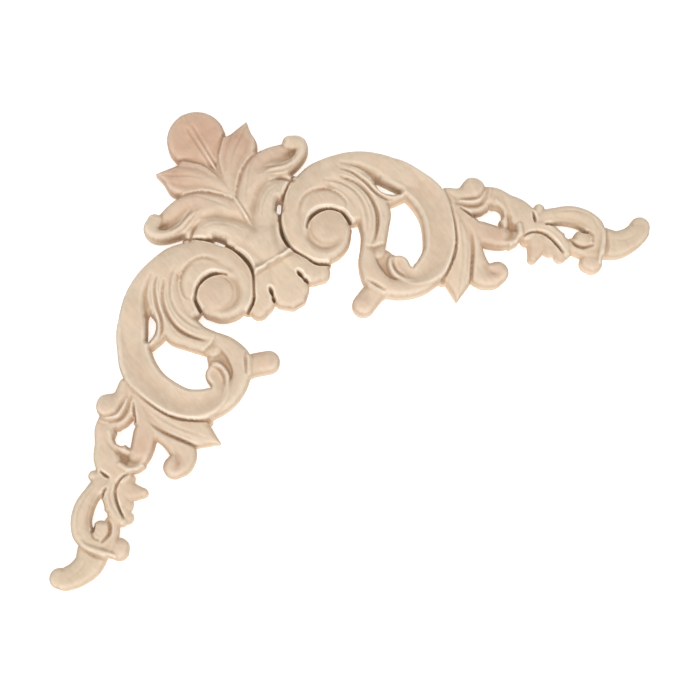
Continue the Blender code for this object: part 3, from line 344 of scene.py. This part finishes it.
KNOB = [
    raised(flattened, [(91.0, 11.4, 1.4, 6.8), (95.8, 14.4, 2.4, 6.6), (100.5, 16.4, 3.5, 6.4),
                       (105.6, 16.6, 3.3, 6.4), (109.4, 16.0, 2.4, 6.2)], drop=1.3),
    raised(flattened, [(104.5, 9.0, 2.0, 5.4), (108.0, 10.4, 3.6, 4.6), (108.6, 14.0, 3.2, 4.6)],
           drop=0.4),
    raised(flattened, [(97.6, 5.2, 3.0, 6.0), (101.4, 4.8, 3.2, 6.4), (105.2, 5.9, 3.3, 6.2),
                       (109.2, 7.2, 3.9, 6.0), (112.4, 9.4, 3.7, 5.8), (113.4, 13.0, 2.6, 5.4)],
           drop=0.8),
    raised(rounded, [(102.0, 6.0, 1.2, 6.7), (104.2, 8.8, 1.4, 6.5), (105.8, 11.6, 1.3, 6.2),
                     (106.6, 14.2, 0.9, 5.6)], drop=1.0),
    raised(rounded, [(110.6, 11.6, 0.8, 6.4), (111.3, 14.0, 0.9, 6.6), (110.8, 16.4, 0.9, 6.4),
                     (109.2, 18.2, 0.9, 6.0)], drop=0.8),
    groove([(107.4, 10.2, 1.1, 0.8), (108.4, 12.8, 1.7, 2.0), (108.8, 15.4, 1.6, 1.9),
            (107.8, 17.2, 1.1, 0.8)]),
    groove([(103.8, 5.0, 0.7, 0.3), (105.9, 7.8, 0.8, 0.7), (107.2, 10.2, 0.8, 0.9)]),
    raised(rounded, [(89.4, 9.8, 1.4, 6.6), (95.0, 10.4, 1.7, 6.2), (98.8, 8.4, 1.9, 5.8)],
           drop=1.0),
    raised(rounded, [(87.0, 6.9, 1.8, 6.8), (91.2, 6.6, 2.5, 6.8), (94.4, 4.3, 4.1, 7.6)],
           drop=1.6),
    groove([(97.2, 1.0, 0.5, 0.8), (97.8, 3.8, 0.6, 1.0), (96.4, 6.4, 0.7, 1.2),
            (93.8, 7.6, 0.7, 1.0), (91.2, 8.0, 0.5, 0.3)]),
    raised(rounded, [(98.2, 4.4, 0.5, 6.6), (97.0, 7.2, 0.7, 7.0),
                     (94.4, 8.5, 0.7, 7.0), (91.4, 8.9, 0.5, 6.8)], drop=0.9),
    groove([(90.4, 9.8, 0.5, 0.5), (94.0, 9.7, 0.8, 1.4), (97.2, 8.6, 0.8, 1.4),
            (99.0, 5.8, 0.5, 0.6)]),
    cut([(92.0, 11.0, 0.3, 5.6), (95.0, 12.0, 0.4, 3.8), (97.2, 12.7, 0.5, 3.2)]),
    pierced([(98.6, 12.5, 0.6, 0), (100.9, 11.0, 1.9, 0), (102.8, 10.1, 2.2, 0)]),
]

TAIL = [
    raised(rounded, [(113.6, 14.2, 1.8, 4.6), (113.8, 15.2, 1.7, 4.2)], drop=0.8),
    raised(rounded, [(116.8, 14.0, 3.0, 4.8), (117.3, 17.0, 2.7, 4.6), (116.9, 20.2, 1.5, 4.2)], drop=0.9),
    raised(rounded, [(120.6, 13.8, 3.0, 4.8), (121.4, 15.8, 2.5, 4.2)], drop=0.8),
    raised(rounded, [(124.0, 15.4, 2.2, 4.6), (125.0, 17.4, 2.0, 4.0)], drop=0.8),
    raised(rounded, [(115.5, 5.0, 1.7, 5.6), (115.2, 7.8, 1.5, 5.0)], drop=1.2),
    raised(flattened, [(116.2, 10.0, 2.2, 5.2), (117.8, 7.4, 2.6, 5.6), (120.8, 5.7, 2.5, 5.8),
                       (125.2, 4.5, 2.9, 6.2), (129.9, 4.8, 3.0, 6.2), (133.3, 7.1, 3.2, 6.0),
                       (133.7, 11.2, 2.8, 5.6), (131.0, 13.6, 2.6, 5.2)], drop=1.1),
    raised(rounded, [(114.8, 10.5, 1.5, 5.4), (118.4, 10.0, 1.9, 5.8), (121.8, 10.8, 1.9, 5.8),
                     (124.6, 13.3, 1.9, 5.6), (126.6, 16.4, 1.3, 5.0)], drop=1.1),
    raised(flattened, [(127.6, 13.6, 2.2, 4.8), (131, 14.2, 2.2, 5.0), (134.4, 13.8, 2.8, 5.0)],
           drop=0.8),
    raised(rounded, [(129.9, 10.9, 2.4, 5.9), (130.6, 11.0, 2.4, 5.9)], drop=1.2),
    raised(rounded, [(133.9, 17.5, 2.8, 5.0), (135.0, 17.6, 2.9, 5.0)], drop=1.3),
    raised(flattened, [(136.6, 10.4, 4.7, 5.2), (140.8, 9.9, 4.2, 5.4), (144.2, 7.6, 3.7, 5.6),
                       (146.4, 4.7, 3.4, 5.6), (146.7, 3.0, 3.1, 5.4)], drop=1.0),
    raised(rounded, [(134.4, 5.6, 0.9, 6.0), (136.0, 8.2, 1.0, 6.5), (136.6, 12.4, 1.0, 6.4),
                     (136.8, 16.6, 0.9, 5.6)], drop=1.2),
    groove([(136.9, 7.4, 0.5, 0.5), (138.0, 11.0, 0.6, 0.9), (138.4, 14.8, 0.5, 0.6)]),
    cut([(112.2, 15.4, 0.2, 4.6), (113.6, 13.6, 0.3, 3.6), (115.6, 12.5, 0.3, 3.0),
         (118.2, 12.2, 0.3, 2.6), (121.2, 13.4, 0.35, 2.0), (123.6, 15.0, 0.35, 2.0),
         (125.4, 16.6, 0.25, 3.2)]),
    cut([(113.8, 6.6, 0.3, 4.0), (114.6, 8.2, 0.5, 2.8), (115.0, 9.4, 0.3, 4.0)]),
    groove([(118.4, 7.9, 0.8, 0.2), (122.0, 6.7, 1.1, 0.7), (126.6, 6.3, 1.2, 0.8),
            (130.4, 7.2, 1.2, 0.8), (132.4, 9.4, 0.9, 0.4)]),
    cut([(118.2, 9.4, 0.3, 4.4), (119.4, 9.1, 0.4, 3.0), (121.4, 8.8, 0.4, 2.4)]),
    cut([(128.4, 8.3, 0.5, 1.8), (129.8, 8.6, 0.7, 1.2), (131.2, 8.9, 0.4, 2.4)]),
    groove([(131.4, 8.6, 0.4, 1.2), (133.0, 9.6, 0.4, 0.9), (133.4, 11.2, 0.4, 0.8)]),
    groove([(126.9, 12.2, 0.4, 1.4), (128.6, 13.4, 0.55, 2.2), (131.0, 13.7, 0.6, 2.2),
            (133.6, 12.4, 0.4, 1.2)]),
    pierced([(121.9, 8.8, 0.45, 0), (124.2, 9.2, 1.2, 0), (126.0, 9.2, 1.25, 0)]),
    pierced([(125.0, 9.2, 1.0, 0), (125.5, 11.2, 0.5, 0)]),
]

# The volutes' lines and channels, all but their first three forms, are carved after the neck
FORMS = BED + SCROLL + VOLUTE[:3] + FRONDS + PALMETTE + NECK + VOLUTE[3:] + HUSK + KNOB + TAIL

# Fine gouge lines that the solid leaves out
FINE = [
    groove([(31.4, 13.4, 0.3, 0.3), (34.0, 12.4, 0.4, 1.2), (37.0, 10.8, 0.4, 1.2),
            (38.9, 8.8, 0.3, 0.5)]),
    groove([(32.4, 15.2, 0.3, 0.4), (35.0, 13.9, 0.4, 1.3), (38.0, 12.4, 0.4, 1.2),
            (39.8, 10.4, 0.3, 0.5)]),
    groove([(27.6, 12.0, 0.3, 0.1), (27.2, 15.6, 0.35, 0.35), (27.8, 21.0, 0.35, 0.35),
            (29.0, 26.0, 0.3, 0.1)]),
    groove([(22.6, 1.6, 0.3, 0.2), (22.2, 5.6, 0.35, 0.4), (21.4, 10.0, 0.35, 0.4),
            (21.4, 14.6, 0.3, 0.1)]),
    groove([(3.2, 7.9, 0.25, 0.12), (5.6, 6.9, 0.25, 0.18), (8.0, 6.3, 0.25, 0.12)]),
    groove([(36.4, 18.6, 0.3, 0.2), (34.4, 21.4, 0.35, 0.4), (33.9, 25.6, 0.35, 0.35),
            (34.8, 30.0, 0.3, 0.1)]),
    groove([(52.6, 7.9, 0.3, 0.2), (56.4, 7.4, 0.3, 0.5), (60.4, 8.2, 0.35, 0.6),
            (63.4, 9.6, 0.3, 0.5), (65.4, 11.0, 0.3, 0.2)]),
    groove([(53.6, 9.6, 0.3, 0.2), (57.6, 9.9, 0.35, 0.5), (61.4, 11.6, 0.35, 0.55),
            (64.8, 14.0, 0.35, 0.55), (67.8, 16.4, 0.3, 0.4), (70.0, 19.4, 0.3, 0.2)]),
    groove([(52.0, 12.0, 0.3, 0.1), (56.4, 12.1, 0.3, 0.35), (60.6, 13.5, 0.35, 0.4),
            (64.0, 16.2, 0.35, 0.45), (66.6, 20.0, 0.35, 0.45), (67.6, 24.4, 0.3, 0.2)]),
    groove([(61.2, 17.8, 0.3, 0.1), (63.2, 21.2, 0.35, 0.35), (64.4, 25.4, 0.35, 0.3),
            (65.2, 29.4, 0.3, 0.1)]),
    groove([(98.4, 1.6, 0.3, 0.3), (98.9, 3.6, 0.3, 0.5), (98.7, 5.8, 0.3, 0.3)]),
    groove([(99.8, 1.4, 0.3, 0.2), (100.2, 3.4, 0.3, 0.35), (100.0, 5.4, 0.3, 0.2)]),
    groove([(97.0, 22.0, 0.3, 0.1), (98.0, 27.0, 0.35, 0.3), (98.6, 31.4, 0.3, 0.1)]),
    groove([(118.8, 5.9, 0.3, 0.1), (122.6, 4.3, 0.3, 0.35), (127.0, 3.4, 0.3, 0.4),
            (131.6, 4.4, 0.3, 0.35), (134.2, 7.2, 0.3, 0.2)]),
    groove([(116.0, 10.9, 0.3, 0.1), (119.2, 10.9, 0.35, 0.45), (122.2, 12.0, 0.35, 0.45),
            (124.8, 14.4, 0.3, 0.2)]),
    groove([(139.4, 9.2, 0.3, 0.1), (143.0, 8.4, 0.35, 0.3), (146.2, 5.6, 0.3, 0.1)]),
]

# Where the wood is rosier or more straw-coloured: a, b, radius, share. The straw spots on the tail are also
# painted shade, darkening the thin tail against the extra light that it catches.
ROSY_SPOTS = [(9, 9, 13, 1.0), (22.3, 5, 5.5, 0.6), (28, 12, 5, 0.35), (36, 9, 4, 0.35),
              (55, 27, 5, 0.25), (75, 34, 4, 0.3), (70.5, 46.5, 4, 0.3), (96, 12, 5, 0.25),
              (98.5, 2, 4, 0.35), (104, 16.8, 5, 0.6), (107, 28, 3.5, 0.4), (118, 18, 4, 0.4),
              (124, 8, 4, 0.25), (131, 13, 4, 0.4)]
STRAW_AND_SHADE_SPOTS = [(38, 3, 3, 0.6), (45.5, 25, 4, 0.6), (47, 42, 5, 0.5), (66, 3, 6, 0.3),
               (105, 9, 3, 0.8), (122, 8, 10, 0.5), (133, 8, 8, 0.5), (144, 7, 7, 0.9)]


def smooth_line(stations):
    """Stations read from a smooth curve through the given ones."""
    first = 2 * stations[0] - stations[1]
    last = 2 * stations[-1] - stations[-2]
    s = np.vstack([first, stations, last])
    t = np.linspace(0, 1, SPAN_STEPS, endpoint=False)[:, None]
    spans = []
    for i in range(1, len(s) - 2):
        p0, p1, p2, p3 = s[i - 1], s[i], s[i + 1], s[i + 2]
        spans.append(p1 + 0.5 * t * ((p2 - p0) + t * ((2 * p0 - 5 * p1 + 4 * p2 - p3)
                                                    + t * (3 * (p1 - p2) + p3 - p0))))
    line = np.vstack(spans + [stations[-1:]])
    line[:, 2] = np.maximum(line[:, 2], 0.05)
    return line


def measure(line, a, b):
    """For each plan point: distance, side, overrun past an end, half width and level."""
    start, step = line[:-1], np.diff(line, axis=0)
    length2 = (step[:, :2] ** 2).sum(1)
    da = a[:, None] - start[:, 0]
    db = b[:, None] - start[:, 1]
    t = ((da * step[:, 0] + db * step[:, 1]) / length2).clip(0, 1)
    far2 = (da - t * step[:, 0]) ** 2 + (db - t * step[:, 1]) ** 2
    near = far2.argmin(1)
    row = np.arange(len(a))
    t = t[row, near]
    here = start[near] + t[:, None] * step[near]
    way = step[near, :2] / np.sqrt(length2[near])[:, None]
    da, db = a - here[:, 0], b - here[:, 1]
    beyond = np.abs(da * way[:, 0] + db * way[:, 1])
    first, last = (near == 0) & (t == 0), (near == len(start) - 1) & (t == 1)
    beyond[~(first | last)] = 0.0
    side = np.sign(da * way[:, 1] - db * way[:, 0])
    return np.sqrt(far2[row, near]), side, beyond, here[:, 2], here[:, 3]


def carve(forms, a, b):
    """Signed distance inside the outline and height of the face, at plan points with a >= b."""
    inside = np.full(a.shape, OUTSIDE)
    height = np.zeros(a.shape)
    for kind, section, drop, lean, flat, stations in forms:
        line = smooth_line(stations)
        reach = line[:, 2].max() + SIDE_REACH
        low, high = line[:, :2].min(0) - reach, line[:, :2].max(0) + reach
        near = (a > low[0]) & (a < high[0]) & (b > low[1]) & (b < high[1])
        if not near.any():
            continue
        off, side, beyond, half, level = measure(line, a[near], b[near])
        if kind == "pierced":
            inside[near] = np.minimum(inside[near], off - half)
            continue
        if kind == "groove":
            height[near] -= level * (1 - off / (GROOVE_SPREAD * half)).clip(0, 1) ** 1.5
            continue
        if kind == "stepped":
            sunk = level * (1 - off / half).clip(0, 1) ** 2
            height[near] -= np.where((side > 0) & (beyond == 0), sunk, 0)
            continue
        if kind == "cut":
            wall = level + CUT_WALL * np.maximum(off - CUT_FLAT * half, 0)
            height[near] = np.minimum(height[near], wall)
            continue
        within = half - off
        if flat:
            across = np.sqrt(np.maximum(off ** 2 - beyond ** 2, 0))
            within = np.where(beyond > 1e-6, np.minimum(half - across, -beyond), within)
        u = side * (off / half).clip(0, 1)
        u = np.where(u > lean, (u - lean) / (1 - lean), (u - lean) / (1 + lean)).clip(-1, 1)
        face = level - drop * (1 - section(u))
        face = np.where(within < 0, level - drop + FLANK * within, face)
        height[near] = np.maximum(height[near], face)
        inside[near] = np.maximum(inside[near], within)
    return inside, height


def carved_field():
    """The grid marks, the inside distance and the sanded height; one half is mirrored."""
    marks = np.arange(-MARGIN, LEG + MARGIN + GRID / 2, GRID)
    a, b = np.meshgrid(marks, marks, indexing="ij")
    half = a >= b
    inside = np.full(a.shape, OUTSIDE)
    height = np.zeros(a.shape)
    inside[half], height[half] = carve(FORMS + FINE, a[half], b[half])
    inside = np.where(half, inside, inside.T)
    height = np.where(half, height, height.T)
    inside = joined_to_hub(marks, inside)
    return marks, inside, sanded(inside, height)


def joined_to_hub(marks, inside):
    """Drops any crumb of wood that does not reach the hub."""
    wood = inside > 0
    hub = np.argmin(np.abs(marks - ORIGIN))
    reached = np.zeros_like(wood)
    reached[hub, hub] = True
    count = 0
    while reached.sum() > count:
        count = reached.sum()
        for axis in (0, 1):
            for shift in (-1, 1):
                reached |= np.roll(reached, shift, axis) & wood
    return np.where(wood & ~reached, -0.1, inside)


def sanded(inside, height):
    """Heights averaged with their neighbours in the wood, as sanding leaves them."""
    wood = (inside > 0).astype(float)
    total, weight = height * wood, wood
    for axis in (0, 1):
        total = 2 * total + np.roll(total, 1, axis) + np.roll(total, -1, axis)
        weight = 2 * weight + np.roll(weight, 1, axis) + np.roll(weight, -1, axis)
    return np.where(weight > 0, total / np.maximum(weight, 1e-9), height)


def spread(values, wood, width):
    """Values averaged over a neighbourhood of about the given width, in the wood alone."""
    total, weight = values * wood, wood.astype(float)
    for _ in range(max(1, round((width / GRID) ** 2 / 2))):
        for axis in (0, 1):
            total = (2 * total + np.roll(total, 1, axis) + np.roll(total, -1, axis)) / 4
            weight = (2 * weight + np.roll(weight, 1, axis) + np.roll(weight, -1, axis)) / 4
    return total / np.maximum(weight, 1e-6)


def spotted(spots, plan):
    """How strongly the soft spots tint each plan point, on both arms alike."""
    far, near = plan.max(1), plan.min(1)
    share = np.zeros(len(plan))
    for a, b, radius, strength in spots:
        share += strength * np.exp(-((far - a) ** 2 + (near - b) ** 2) / radius ** 2)
    return share.clip(0, 1)


def crossings(inside):
    """For both grid directions: which grid edges the outline crosses, and how far along."""
    found = []
    for axis in (0, 1):
        here = inside[:-1, :] if axis == 0 else inside[:, :-1]
        there = inside[1:, :] if axis == 0 else inside[:, 1:]
        crossed = (here > 0) != (there > 0)
        share = np.clip(here / np.where(crossed, here - there, 1.0), OFF_GRID, 1 - OFF_GRID)
        found.append((crossed, share))
    return found


def eased(marks, inside, height, outline):
    """The face lowered to a rounded shoulder along the outline."""
    tree = kdtree.KDTree(len(outline))
    for number, (a, b) in enumerate(outline):
        tree.insert((a, b, 0), number)
    tree.balance()
    for i, j in zip(*np.nonzero((inside > 0) & (height > EDGE))):
        far = tree.find((marks[i], marks[j], 0))[2]
        if far < SHOULDER:
            rise = height[i, j] - EDGE
            height[i, j] = EDGE + rise * (1 - (1 - far / SHOULDER) ** 2) ** 0.5
    return np.maximum(height, LEAST_WOOD)


def face_sheet():
    """The carved face as one open sheet: plan points, heights, faces and named tints, the painted shade and
    highlight among them.
    """
    marks, inside, height = carved_field()
    wood = inside > 0
    (cross_a, share_a), (cross_b, share_b) = crossings(inside)
    ia, ja = np.nonzero(cross_a)
    ib, jb = np.nonzero(cross_b)
    rim_a = np.column_stack([marks[ia] + share_a[ia, ja] * GRID, marks[ja]])
    rim_b = np.column_stack([marks[ib], marks[jb] + share_b[ib, jb] * GRID])
    outline = np.vstack([rim_a, rim_b])
    height = eased(marks, inside, height, outline)
    near = spread(height, wood, NEAR_CREASE) - height
    wide = spread(height, wood, WIDE_CREASE) - height
    # Painted shade: how far the wood lies below the average about it, which the material darkens towards
    # brown
    sunk = NEAR_SHARE * near.clip(0) + WIDE_SHARE * wide.clip(0)
    sunk *= (inside / RIM_CLEAR).clip(0, 1)
    # Painted highlight: how far the wood stands above the average about it, which the material lightens
    proud = (-near).clip(0)

    i, j = np.nonzero(wood)
    near_a = np.where(wood[ia, ja], height[ia, ja], height[ia + 1, ja])
    near_b = np.where(wood[ib, jb], height[ib, jb], height[ib, jb + 1])
    rim_height = np.minimum(EDGE, np.concatenate([near_a, near_b]))
    plan = np.vstack([np.column_stack([marks[i], marks[j]]), outline])
    z = np.concatenate([height[i, j], rim_height])
    no_tint = np.zeros(len(outline))
    tints = {"sunk": np.concatenate([sunk[i, j], no_tint]),
             "proud": np.concatenate([proud[i, j], no_tint]),
             "rosy": spotted(ROSY_SPOTS, plan), "straw_and_shade": spotted(STRAW_AND_SHADE_SPOTS, plan)}
    return plan, z, sheet_faces(wood, cross_a, cross_b), tints


def numbered(marked, first):
    """The marked places numbered in their order from the first number, and -1 elsewhere."""
    numbers = np.full(marked.shape, -1)
    numbers[marked] = first + np.arange(marked.sum())
    return numbers


def sheet_faces(wood, cross_a, cross_b):
    """A face for each whole cell of wood, and the wood's share of each cell that the outline cuts."""
    node = numbered(wood, 0)
    edge_a = numbered(cross_a, wood.sum())
    edge_b = numbered(cross_b, wood.sum() + cross_a.sum())
    corner = [node[:-1, :-1], node[:-1, 1:], node[1:, 1:], node[1:, :-1]]
    whole = np.all([c >= 0 for c in corner], axis=0)
    faces = np.column_stack([c[whole] for c in corner]).tolist()
    some = np.any([c >= 0 for c in corner], axis=0) & ~whole
    for i, j in zip(*np.nonzero(some)):
        ends = [node[i, j], node[i, j + 1], node[i + 1, j + 1], node[i + 1, j]]
        sides = [edge_b[i, j], edge_a[i, j + 1], edge_b[i + 1, j], edge_a[i, j]]
        solid = [end >= 0 for end in ends]
        if solid in ([True, False, True, False], [False, True, False, True]):
            faces += [(sides[k - 1], ends[k], sides[k]) for k in range(4) if solid[k]]
            continue
        ring = []
        for k in range(4):
            if solid[k]:
                ring.append(ends[k])
            if solid[k] != solid[(k + 1) % 4]:
                ring.append(sides[k])
        faces.append(ring)
    return faces


def placed(plan, z):
    """Plan millimetres as places in the frame, in metres."""
    return np.column_stack([plan[:, 0] - ORIGIN, ORIGIN - plan[:, 1], z]) * MM


def close_piece(mesh):
    """Walls dropped in rows from the outline to the flat back, and the back itself."""
    shell = bmesh.new()
    shell.from_mesh(mesh)
    sunk = shell.verts.layers.float["sunk"]
    rim = [edge for edge in shell.edges if edge.is_boundary]
    for level in WALL_LEVELS:
        rows = bmesh.ops.extrude_edge_only(shell, edges=rim)["geom"]
        for vert in rows:
            if isinstance(vert, bmesh.types.BMVert):
                vert.co.z = min(vert.co.z, level * MM)
                # the walls carry no painted shade
                vert[sunk] = 0.0
        rim = [edge for edge in rows if isinstance(edge, bmesh.types.BMEdge) and edge.is_boundary]
    bmesh.ops.triangle_fill(shell, edges=rim, use_beauty=True, normal=(0, 0, -1))
    bmesh.ops.recalc_face_normals(shell, faces=shell.faces)
    shell.to_mesh(mesh)
    shell.free()


def fitted(mesh, low, high):
    """The mesh held inside the solid's box."""
    places = np.empty(len(mesh.vertices) * 3)
    mesh.vertices.foreach_get("co", places)
    places = places.reshape(-1, 3).clip(np.array(low), np.array(high))
    mesh.vertices.foreach_set("co", places.ravel())


def carving():
    """The finely carved onlay, which stands for the plain solid."""
    plan, z, faces, tints = face_sheet()
    mesh = bpy.data.meshes.new("carved_onlay")
    mesh.from_pydata(placed(plan, z).tolist(), [], faces)
    for name, values in tints.items():
        layer = mesh.attributes.new(name, "FLOAT", "POINT")
        layer.data.foreach_set("value", values.astype(np.float32))
    close_piece(mesh)
    fitted(mesh, *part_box("corner_onlay"))
    mesh.shade_smooth()
    mesh.set_sharp_from_angle(angle=SHARP)
    onlay = bpy.data.objects.new("carved_onlay", mesh)
    bpy.context.scene.collection.objects.link(onlay)
    return onlay


class Nodes:
    """A material's node tree, built by short calls."""

    def __init__(self, name):
        self.material = bpy.data.materials.new(name)
        self.material.use_nodes = True
        self.tree = self.material.node_tree
        self.tree.nodes.clear()

    def add(self, kind, settings=None, **inputs):
        """A node with its settings; an input, by name or _number, is a value or an output."""
        node = self.tree.nodes.new("ShaderNode" + kind)
        for name, value in (settings or {}).items():
            setattr(node, name, value)
        for name, value in inputs.items():
            key = int(name[1:]) if name[1:].isdigit() else name.replace("_", " ")
            socket = node.inputs[key]
            if isinstance(value, bpy.types.NodeSocket):
                self.tree.links.new(value, socket)
            else:
                socket.default_value = value
        return node

    def math(self, operation, first, second=0.0, third=0.0, clamp=False):
        """The result of a sum, product or power."""
        node = self.add("Math", {"operation": operation, "use_clamp": clamp},
                        _0=first, _1=second, _2=third)
        return node.outputs[0]

    def mix(self, share, first, second, blend="MIX"):
        """The first colour with its share of the second mixed or blended in."""
        node = self.add("Mix", {"data_type": "RGBA", "blend_type": blend},
                        _0=share, _6=first, _7=second)
        return node.outputs[2]


def raw_wood():
    """Pale, sanded, unfinished hardwood, glued from blocks, with painted shade in its deep channels and
    painted highlight on its ridges.
    """
    n = Nodes("raw_wood")
    place = n.add("TexCoord").outputs["Object"]
    turned = n.add("Mapping", Vector=place, Rotation=(0, 0, math.radians(GRAIN_TURN))).outputs[0]

    def noise(scale, detail, along):
        """Noise of about 1 / scale metres, drawn out along the grain."""
        long = n.add("Mapping", Vector=turned, Scale=(along, 1.0, 1.0)).outputs[0]
        return n.add("TexNoise", Vector=long, Scale=scale, Detail=detail).outputs[0]

    def amount(value, low, high, most):
        """A share that rises from nothing at low to most at high."""
        return n.add("MapRange", _0=value, _1=low, _2=high, _3=0.0, _4=most).outputs[0]

    def painted(name):
        """One of the tints that the mesh carries."""
        return n.add("Attribute", {"attribute_name": name}).outputs["Fac"]

    def varied(colour, value, swing):
        """The colour made lighter and darker about itself."""
        level = n.math("MULTIPLY_ADD", value, swing, 1.0 - swing / 2)
        return n.mix(1.0, colour, level, "MULTIPLY")

    fibres = noise(*FIBRES)
    pores = noise(*PORES)
    rings = noise(*RINGS)
    gouges = noise(*GOUGES)
    mottle = noise(*MOTTLE)
    patches = noise(*PATCHES)
    strokes = noise(*STROKES)

    colour = n.mix(amount(mottle, 0.35, 0.65, 0.6), PALE, GREY)
    colour = n.mix(amount(patches, 0.50, 0.75, 0.22), colour, ROSY)
    colour = n.mix(amount(patches, 0.50, 0.25, 0.35), colour, STRAW)
    colour = n.mix(painted("rosy"), colour, ROSY)
    # straw tone, and on the tail also painted shade
    colour = n.mix(painted("straw_and_shade"), colour, STRAW)
    colour = n.mix(amount(rings, 0.42, 0.66, 0.35), colour, STREAK)
    colour = varied(colour, patches, PATCH_SWING)
    colour = varied(colour, gouges, GOUGE_SWING)
    colour = varied(colour, strokes, STROKE_SWING)
    colour = n.mix(amount(fibres, 0.45, 0.75, 0.14), colour, FIBRE)
    colour = n.mix(amount(pores, 0.64, 0.70, 0.22), colour, FIBRE)
    # Painted shade: the wood is darkened towards brown where it lies below its surroundings
    depth = n.math("MULTIPLY", painted("sunk"), CREASE_GAIN, clamp=True)
    crease_shade = n.math("POWER", depth, CREASE_POWER)
    colour = n.mix(n.math("MULTIPLY", crease_shade, CREASE_MOST), colour, SHADE_BROWN)
    # Painted highlight: crests that stand above their surroundings are lightened
    colour = n.mix(n.math("MULTIPLY", painted("proud"), PROUD_GAIN, clamp=True), colour, HIGHLIGHT)

    fine = n.add("Bump", Height=fibres, Strength=0.20, Distance=0.0001).outputs[0]
    tooled = n.add("Bump", Height=gouges, Strength=0.5, Distance=0.0005, Normal=fine).outputs[0]
    shaped = n.add("Bump", Height=patches, Strength=0.3, Distance=0.0008, Normal=tooled).outputs[0]
    shader = n.add("BsdfPrincipled", Base_Color=colour, Roughness=ROUGHNESS,
                   Specular_IOR_Level=SPECULAR, Normal=shaped)
    n.add("OutputMaterial", Surface=shader.outputs[0])
    return n.material


def glowing_white():
    """A white surface that glows, less about the onlay than further off, so that it holds hardly any shadow.
    """
    n = Nodes("glowing_white")
    place = n.add("TexCoord").outputs["Object"]
    far = n.add("VectorMath", {"operation": "LENGTH"}, _0=place).outputs["Value"]
    glow = n.add("MapRange", _0=far, _1=GLOW_RISE[0], _2=GLOW_RISE[1],
                 _3=FLOOR_GLOW, _4=FAR_GLOW).outputs[0]
    shader = n.add("BsdfPrincipled", Base_Color=FLOOR_WHITE, Roughness=FLOOR_ROUGHNESS,
                   Emission_Color=WHITE, Emission_Strength=glow)
    n.add("OutputMaterial", Surface=shader.outputs[0])
    return n.material


def floor():
    """The pale surface that the onlay lies on."""
    mesh = bpy.data.meshes.new("floor")
    half = FLOOR_SIZE / 2
    corners = [(-half, -half), (half, -half), (half, half), (-half, half)]
    mesh.from_pydata([(x, y, -FLOOR_GAP) for x, y in corners], [], [(0, 1, 2, 3)])
    mesh.materials.append(glowing_white())
    surface = bpy.data.objects.new("floor", mesh)
    bpy.context.scene.collection.objects.link(surface)


def area_light(name, place, aim, size, power):
    """A soft white square lamp at a place, turned to its aim."""
    lamp = bpy.data.lights.new(name, "AREA")
    lamp.size = size
    lamp.energy = power
    holder = bpy.data.objects.new(name, lamp)
    holder.location = place
    holder.rotation_euler = (Vector(aim) - Vector(place)).to_track_quat("-Z", "Y").to_euler()
    bpy.context.scene.collection.objects.link(holder)


def studio(centre):
    """Even white surroundings, a soft lamp overhead and a soft key from the lower right."""
    world = bpy.data.worlds.new("studio")
    world.use_nodes = True
    background = world.node_tree.nodes["Background"]
    background.inputs["Color"].default_value = WHITE
    background.inputs["Strength"].default_value = SKY
    bpy.context.scene.world = world
    area_light("key", centre + Vector(KEY_PLACE), centre, KEY_SIZE, KEY_POWER)
    area_light("top", centre + Vector(TOP_PLACE), centre, TOP_SIZE, TOP_POWER)
    bpy.context.scene.view_settings.view_transform = "Standard"


def camera():
    """The camera at the photograph's place, turned to the onlay."""
    lens = bpy.data.cameras.new("camera")
    lens.lens = LENS
    lens.sensor_width = SENSOR
    lens.clip_start = CLIP_NEAR
    lens.clip_end = CLIP_FAR
    holder = bpy.data.objects.new("camera", lens)
    toward = (Vector(AIM) - Vector(EYE)).to_track_quat("-Z", "Y").to_matrix()
    turn = toward @ Matrix.Rotation(math.radians(ROLL), 3, "Z")
    holder.matrix_world = Matrix.Translation(EYE) @ turn.to_4x4()
    bpy.context.scene.collection.objects.link(holder)
    bpy.context.scene.camera = holder


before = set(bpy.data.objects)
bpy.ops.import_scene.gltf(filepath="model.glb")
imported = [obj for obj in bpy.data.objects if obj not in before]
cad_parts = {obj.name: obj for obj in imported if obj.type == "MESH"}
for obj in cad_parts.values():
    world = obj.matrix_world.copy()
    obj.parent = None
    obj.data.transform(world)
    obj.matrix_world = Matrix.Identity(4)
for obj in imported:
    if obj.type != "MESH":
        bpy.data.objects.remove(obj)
cad_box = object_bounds()
centre = (cad_box[0] + cad_box[1]) / 2

onlay = carving()
onlay.data.materials.append(raw_wood())
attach(onlay, "root")
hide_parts("corner_onlay")

floor()
studio(centre)
camera()
